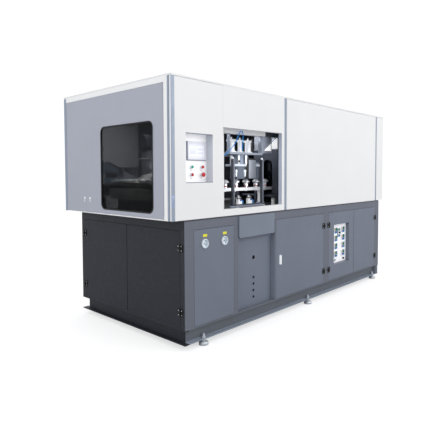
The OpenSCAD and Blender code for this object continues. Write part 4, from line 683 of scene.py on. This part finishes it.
# pale square, push fitting, border lines and screws of the plate
p.box((2493, 2529), (41.0, METER_PLATE), (545, 581), M["screen_line"], 0.8)
p.box((2498, 2524), (40.4, 41.0), (550, 576), M["screen"], 0.3)
FITTING = (2404, METER_PLATE, 382)
p.lathe(FITTING, "-y", [(0, 0), (11, 0), (11, 5), (9, 7), (8.5, 11), (0, 13)], M["teal"])
p.lathe(FITTING, "-y", [(11.2, 0), (14, 0), (14, 3), (11.2, 4)], M["chrome"])
p.box((2312, 2670), (42.4, METER_PLATE), (348, 351), M["pink"], 0.2)
p.box((2667, 2670), (42.4, METER_PLATE), (352, 804), M["pink"], 0.2)
for z in (354, 798):
    for x in (2318, 2664):
        p.screw((x, METER_PLATE, z), "-y", M["steel"], 7, 2)
p.done()

# ---------------------------------------------------------------- blowing station
ROW_X, ROW_Y, PITCH = 725, 240, 150     # first mandrel, the row, the way to the next mandrel
RAIL_TOP = 1264
MANDRELS, CAPPED = 18, 5
LIFT_XS = (875, 1025)                   # cylinders under the rail

p = Piece("station_fittings", "machine")
for x in LIFT_XS:
    p.box((x - 24, x + 24), (182, 188), (1062, 1152), M["sheet_lit"], 2)
    p.box((x - 22, x + 10), (184, 206), (1158, 1176), M["black"], 2)
    p.lathe((x - 6, 195, 1176), "+z", [(0, 0), (5, 0), (5, 14), (3, 16), (0, 16)], M["cap"], 16)
    for z in (1070, 1148):
        elbow = [(0, 0), (6, 0), (6, 8), (8, 9), (8, 17), (5.4, 20), (0, 20)]
        p.lathe((x, 189, z), "-y", elbow, M["blue"], 16)
        p.lathe((x, 189, z), "-y", rod(7.5, 5), M["steel"], 6)
    upper = [(x, 170, 1148), (x, 150, 1140), (x - 22, 138, 1105), (x - 34, 138, 1062),
             (x - 40, 150, 1046)]
    lower = [(x, 170, 1070), (x, 152, 1066), (x + 20, 140, 1054), (x + 40, 150, 1046)]
    for hose in (upper, lower):
        p.sweep(hose, 7, M["tube"])
# valve block with three valves, and a pressure regulator
p.box((1080, 1170), (120, 170), (1039, 1095), M["alloy_light"], 2)
for k in range(3):
    p.box((1084 + 29 * k, 1108 + 29 * k), (124, 166), (1095, 1118), M["black"], 1.5)
    p.lathe((1096 + 29 * k, 145, 1118), "+z", [(0, 0), (5, 0), (5, 6), (4, 8), (0, 8)], M["blue"], 14)
p.box((560, 640), (130, 200), (1039, 1075), M["platen"], 2)
p.lathe((600, 165, 1075), "+z", [(0, 0), (18, 0), (18, 22), (12, 28), (12, 46), (0, 46)], M["blue"], 20)
p.done()

p = Piece("station_sheets", "machine")
# sheets above the arch plate, the white ones glowing as painted light; a black strip painted as the
# shade in the bridge's slot; and screws
p.slab([(112, 1644), (412, 1644), (412, 1784), (112, 1784)], "X", (1367, 1369), M["galvanised"], 0.4)
p.slab([(112, 1644), (191, 1644), (191, 1702), (112, 1758)], "X", (1363, 1366.6), M["sheet_lit"], 0.4)
p.slab([(1155, 1620), (1271, 1620), (1271, 1696)], "Y", (119.4, 121.7), M["sheet_lit"], 0.4)
p.box((1358, 1363), (112, 420), (1640, 1646), M["galvanised"], 0.6)
p.box((962, 984), (117.6, 119.6), (1600, 1722), M["black"], 0.3)
for y, z in ((130, 1650), (296, 1652), (130, 1770)):
    p.screw((1363, y, z), "-x", M["steel"], 7, 2)
p.done()

p = Piece("portal_foot_bar", "machine")
p.box((600, 1060), (52, 72), (1095.4, 1112), M["foot_bar"], 1.5)
p.box((700, 960), (20, 51), (1095.2, 1098), M["black"], 0.5)
# Thin pale strips on the posts' fronts are a painted highlight of their lit edges.
for x in (665, 1081):
    p.box((x, x + 9.2), (77.2, 78.0), (1122, 1528), M["foot_bar"], 0.2)
for x in (700, 1020):
    p.screw((x, 62, 1112), "+z", M["steel"], 9, 3)
p.done()

p = Piece("mandrel_caps", "machine")
foot = [(17.2, 22), (21, 22), (21, 45), (13.2, 45)]
brim = [(13.2, 51.2), (35, 51.2), (37, 54), (37, 58), (22, 72), (16, 78), (13.2, 78)]
for i in range(CAPPED):
    point = (ROW_X + PITCH * i, ROW_Y, RAIL_TOP)
    p.lathe(point, "+z", foot, M["cap"], 32)
    p.lathe(point, "+z", ring(13.2, 25, 45.2, 51), M["black"], 32)
    p.lathe(point, "+z", brim, M["cap"], 32)
p.done()

p = Piece("head_sleeves", "transfer_head")
for x in (786, 1002):
    p.lathe((x, 215, 1575), "+z", ring(10.4, 12.5, -86, -14), M["sheet"], 24)
p.done()

p = Piece("mandrel_rings", "machine")
seal = [(17.1, 14.2), (19.6, 15.0), (20.4, 17.0), (19.6, 19.0), (17.1, 20.0)]
for i in range(MANDRELS):
    p.lathe((ROW_X + PITCH * i, ROW_Y, RAIL_TOP), "+z", seal, M["red"], 20)
p.done()

p = Piece("gripper_sleeves", "transfer_head")
sleeve = [(0, -60), (9, -60), (13, -52), (13, -18), (17, -14), (17, 6), (11, 10), (7, 12)]
for x in (800, 925):
    p.lathe((x, 173, 1425), "+z", sleeve, M["steel"], 24)
    p.lathe((x, 173, 1425), "+z", [(9.3, -64), (12.5, -62), (12.5, -58), (9.3, -56)], M["black"], 20)
p.done()

p = Piece("head_front", "transfer_head")
# face plate between black strips painted as the shade in its gaps, then two rods, one with a knob; the
# white rod glows as painted light
p.box((966, 1072), (154.0, 156.0), (1352, 1527), M["plate"], 0.6)
p.box((934, 966), (155.0, 156.6), (1352, 1541), M["black"], 0.2)
p.box((966, 1072), (154.5, 156.6), (1527, 1541), M["black"], 0.2)
p.lathe((915, 150, 1488), "+z", rod(11, 80), M["cap"], 24)
p.lathe((822, 157, 1490), "+z", rod(7, 78), M["sheet_lit"], 20)
p.lathe((822, 150, 1512), "+z", [(0, -12), (8, -9), (12, 0), (8, 9), (0, 12)], M["black"], 20)
p.done()

# One loop over the beam, dressed in place of the two CAD tubes
p = Piece("air_tube_loop", "machine")
p.sweep([(560, 150, 1558), (600, 120, 1566), (677, 108, 1631), (714, 95, 1683), (743, 86, 1748),
         (774, 84, 1785), (815, 96, 1753), (862, 140, 1700), (905, 178, 1655), (922, 196, 1618)],
        8, M["tube"], 12, 6)
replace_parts(p.done(), "air_tubes")

# ---------------------------------------------------------------- infeed behind the smoked window
LENGTH, BODY_D, NECK_D = 46, 20, 27      # of a preform
TABLE_TOP = 1322

p = Piece("infeed_details", "machine")
# table plate, its apron with a slot, and the dark sheet below; the apron glows as painted light, the
# black slot and the black sheet are painted shade
p.box((40, 205), (478, 1070), (1312, TABLE_TOP), M["cream"], 2)
p.box((34, 40), (478, 1070), (1170, 1268), M["cream_dark"], 2)
p.box((32, 34), (838, 955), (1203, 1213), M["black"], 1)
p.box((120, 124), (470, 1070), (1045, 1166), M["black"], 1)
# blue hopper side with its rubber edge, its mouth as a black block of painted shade, the motor box and a
# hose
p.slab([(958, 1405), (1238, 1420), (1238, 1507), (1125, 1505), (958, 1455)],
       "X", (50, 59.6), M["tray"], 2)
p.sweep([(50, 1238, 1512), (50, 1120, 1510), (50, 1050, 1488), (50, 958, 1460)], 9, M["rubber"], 8, 3)
p.box((52, 59.6), (976, 1150), (1363, 1404), M["black"], 3)
p.box((42, 200), (1085, 1205), (1190, 1291), M["black"], 4)
p.sweep([(56, 960, 1456), (50, 932, 1455), (44, 905, 1440), (42, 884, 1404), (48, 874, 1340),
         (60, 868, 1322)], 11, M["rubber"], 10, 4)
# chute sheet, guide block and bar
p.slab([(476, 1322), (826, 1322), (826, 1350), (590, 1414), (476, 1446)], "X", (150, 156), M["sheet"], 1)
p.box((156, 225), (476, 622), (1424, 1499), M["sheet"], 2)
p.box((222, 229.6), (600, 860), (1534, 1546), M["sheet"], 1)
# loose preforms on the table
pick = random.Random(7)
for k in range(26):
    y = 500 + 21.5 * k + pick.uniform(-6, 6)
    x, z, lean = pick.uniform(62, 120), TABLE_TOP + pick.uniform(11, 20), pick.uniform(-0.5, 0.5)
    tip = (x - LENGTH * math.cos(lean), y + LENGTH * math.sin(lean), z + pick.uniform(-4, 4))
    half = [(a + b) / 2 for a, b in zip((x, y, z), tip)]
    p.sweep([(x, y, z), half, tip], BODY_D, M["cream"], 12, 2)
    p.sweep([tip, (tip[0] - 4, tip[1] + 1.5 * lean, tip[2])], NECK_D, M["dial"], 12, 1)
p.done()

# ---------------------------------------------------------------- electrical bay behind the doors
PLATE_FACE = 350        # the electrical plate, behind the cabinet's front

p = Piece("electrical_details", "machine")
for i in range(16):         # breakers
    x = 2310 + 54 * i
    p.box((x + 14, x + 34), (PLATE_FACE - 12, PLATE_FACE), (690, 716), M["black"], 1.5)
    p.box((x + 4, x + 44), (PLATE_FACE - 1.4, PLATE_FACE), (720, 740), M["dial"], 0.4)
for i in range(5):          # drive units
    x = 2320 + 190 * i
    for k in range(6):
        p.box((x + 12, x + 138), (278.4, 280), (480 + 15 * k, 487 + 15 * k), M["black"], 0.5)
    p.lathe((x + 120, 280, 575), "-y", [(0, 0), (4, 0), (4, 2), (0, 2.5)], M["green"], 12)
for i in range(8):          # terminals
    x = 2310 + 110 * i
    for z, mat in ((330, "green"), (362, "black")):
        p.box((x + 10, x + 80), (337, 340), (z, z + 15), M[mat], 0.6)
for i in range(14):         # wires
    x = 2330 + 66 * i
    wire = [(x, 350, 655), (x + 3, 330, 640), (x + 9, 322, 610), (x + 6, 345, 590)]
    p.sweep(wire, 5, M["orange" if i % 3 else "tube"], 8, 4)
p.done()

# ---------------------------------------------------------------- cabinet's back and right end
BACK_FACE, END_FACE = 1525, 3500
SCREW_ZS = (186, 1010)

p = Piece("cabinet_screws", "machine")
for e in range(3):
    x0, x1 = 3498 * e / 3 + 20, 3498 * (e + 1) / 3 - 20
    for x in (x0, (x0 + x1) / 2, x1):
        for z in SCREW_ZS:
            p.screw((x, BACK_FACE, z), "+y", M["steel"], 10, 3)
for y in (70, 550, 1030, 1505):
    for z in SCREW_ZS:
        p.screw((END_FACE, y, z), "+x", M["steel"], 10, 3)
p.done()

# ---------------------------------------------------------------- end plate of the base channel
p = Piece("base_end_plate", "machine")
p.box((3440, 3496), (4, 44), (60.5, 168.5), M["frame"], 1.5)
p.done()

# ---------------------------------------------------------------- filter mats behind the back louvres
MAT_ZS = (1710, 2000)

p = Piece("filter_mats", "machine")
for x in ((1520, 1965), (2740, 3185)):
    p.box(x, (1598, 1606), MAT_ZS, M["mat"], 1)
    for z in (MAT_ZS[0] - 2, MAT_ZS[1] - 4):
        p.box(x, (1596, 1610.6), (z, z + 6), M["galvanised"], 0.5)
p.done()

# ---------------------------------------------------------------- camera
EYE = at(-2319.5, -2567.2, 1399.3)
HEADING, TILT, ROLL = -46.97, 87.522, -0.186    # degrees
FOCAL_SHARE = 448.99 / 440                      # focal length over the picture's width
SENSOR = 36.0

cam = bpy.data.cameras.new("camera")
cam.sensor_width = SENSOR
cam.lens = FOCAL_SHARE * SENSOR
cam.shift_x, cam.shift_y = -0.00514, -0.0614
view = bpy.data.objects.new("camera", cam)
view.location = EYE
heading, tilt, roll = (Matrix.Rotation(math.radians(a), 3, axis)
                       for a, axis in ((HEADING, "Z"), (TILT, "X"), (ROLL, "Z")))
view.rotation_euler = (heading @ tilt @ roll).to_euler()
scene.collection.objects.link(view)
scene.camera = view

# ---------------------------------------------------------------- floor
FLOOR = 60              # half the floor's width, metres
FLOOR_GLOW = 0.62       # seen by the camera only, so that the floor runs into the white surround

floor_mesh = bpy.data.meshes.new("floor")
corners = [(-FLOOR, -FLOOR, 0), (FLOOR, -FLOOR, 0), (FLOOR, FLOOR, 0), (-FLOOR, FLOOR, 0)]
floor_mesh.from_pydata(corners, [], [(0, 1, 2, 3)])
floor = bpy.data.objects.new("floor", floor_mesh)
scene.collection.objects.link(floor)
s = Shader("floor_pale")
tone = s.ranged(s.noise(FLOOR_TONE, 4.0), 0.0, 1.0)
s.colour(s.mix(tone, [0.50, 0.50, 0.505, 1.0], [0.52, 0.52, 0.525, 1.0]))
put(s.bsdf, "Roughness", 0.9)
path = s.add("ShaderNodeLightPath")
glow = s.add("ShaderNodeEmission")
put(glow, "Color", [1.0, 1.0, 1.0, 1.0])
s.link(s.math("MULTIPLY", path.outputs["Is Camera Ray"], FLOOR_GLOW), glow.inputs["Strength"])
both = s.add("ShaderNodeAddShader")
s.link(s.bsdf.outputs[0], both.inputs[0])
s.link(glow.outputs[0], both.inputs[1])
s.link(both.outputs[0], s.out.inputs[0])
floor_mesh.materials.append(s.mat)

# ---------------------------------------------------------------- surround
# White to the camera, a soft grey below and white above for the light
world = bpy.data.worlds.new("studio")
scene.world = world
world.use_nodes = True
world.node_tree.nodes.clear()
add, link = world.node_tree.nodes.new, world.node_tree.links.new
seen = add("ShaderNodeBackground")
put(seen, "Color", (1.0, 1.0, 1.0, 1.0))
put(seen, "Strength", 1.05)
soft = add("ShaderNodeBackground")
put(soft, "Strength", 0.95)
height = add("ShaderNodeSeparateXYZ")
link(add("ShaderNodeTexCoord").outputs["Generated"], height.inputs[0])
ramp = add("ShaderNodeValToRGB")
low, high = ramp.color_ramp.elements
low.position, low.color = 0.0, (0.78, 0.80, 0.84, 1.0)
high.position, high.color = 1.0, (1.0, 1.0, 1.0, 1.0)
link(height.outputs["Z"], ramp.inputs[0])
link(ramp.outputs[0], soft.inputs[0])
either = add("ShaderNodeMixShader")
link(add("ShaderNodeLightPath").outputs["Is Camera Ray"], either.inputs[0])
link(soft.outputs[0], either.inputs[1])
link(seen.outputs[0], either.inputs[2])
link(either.outputs[0], add("ShaderNodeOutputWorld").inputs[0])


# ---------------------------------------------------------------- lamps
def area(name, where, aim, size, power):
    """An area lamp at a point in the frame, aimed at another; size in metres, power in watts."""
    light = bpy.data.lights.new(name, "AREA")
    light.shape = "RECTANGLE"
    light.size, light.size_y = size
    light.energy = power
    obj = bpy.data.objects.new(name, light)
    obj.location = where
    obj.rotation_euler = (Vector(aim) - Vector(where)).to_track_quat("-Z", "Y").to_euler()
    scene.collection.objects.link(obj)
    return obj


area("key", (2.0, -7.0, 4.2), (0.4, 0.0, 1.0), (6.0, 4.0), 176)
area("side", (-7.0, -1.0, 3.6), (-1.0, 0.0, 1.0), (4.0, 4.0), 66)

# Small lamps for the insides: name, place, aim, size, watts and spread in degrees
for name, where, aim, size, power, spread in (
        ("lamp_station", at(900, 700, 1950), at(950, 200, 1400), (0.9, 0.4), 1.3, 180),
        ("lamp_opening", at(870, -520, 1440), at(890, 300, 1420), (0.36, 0.36), 0.5, 36),
        ("lamp_recess", at(170, -420, 1560), at(170, 78, 1575), (0.12, 0.12), 0.03, 44),
        ("lamp_infeed", at(300, 1000, 2050), at(270, 930, 1300), (0.4, 0.8), 13, 180),
        ("lamp_infeed_front", at(30, 480, 1800), at(60, 800, 1260), (0.22, 0.22), 8.6, 120)):
    lamp = area(name, where, aim, size, power)
    lamp.data.spread = math.radians(spread)
    lamp.visible_camera = False

scene.view_settings.view_transform = "Standard"
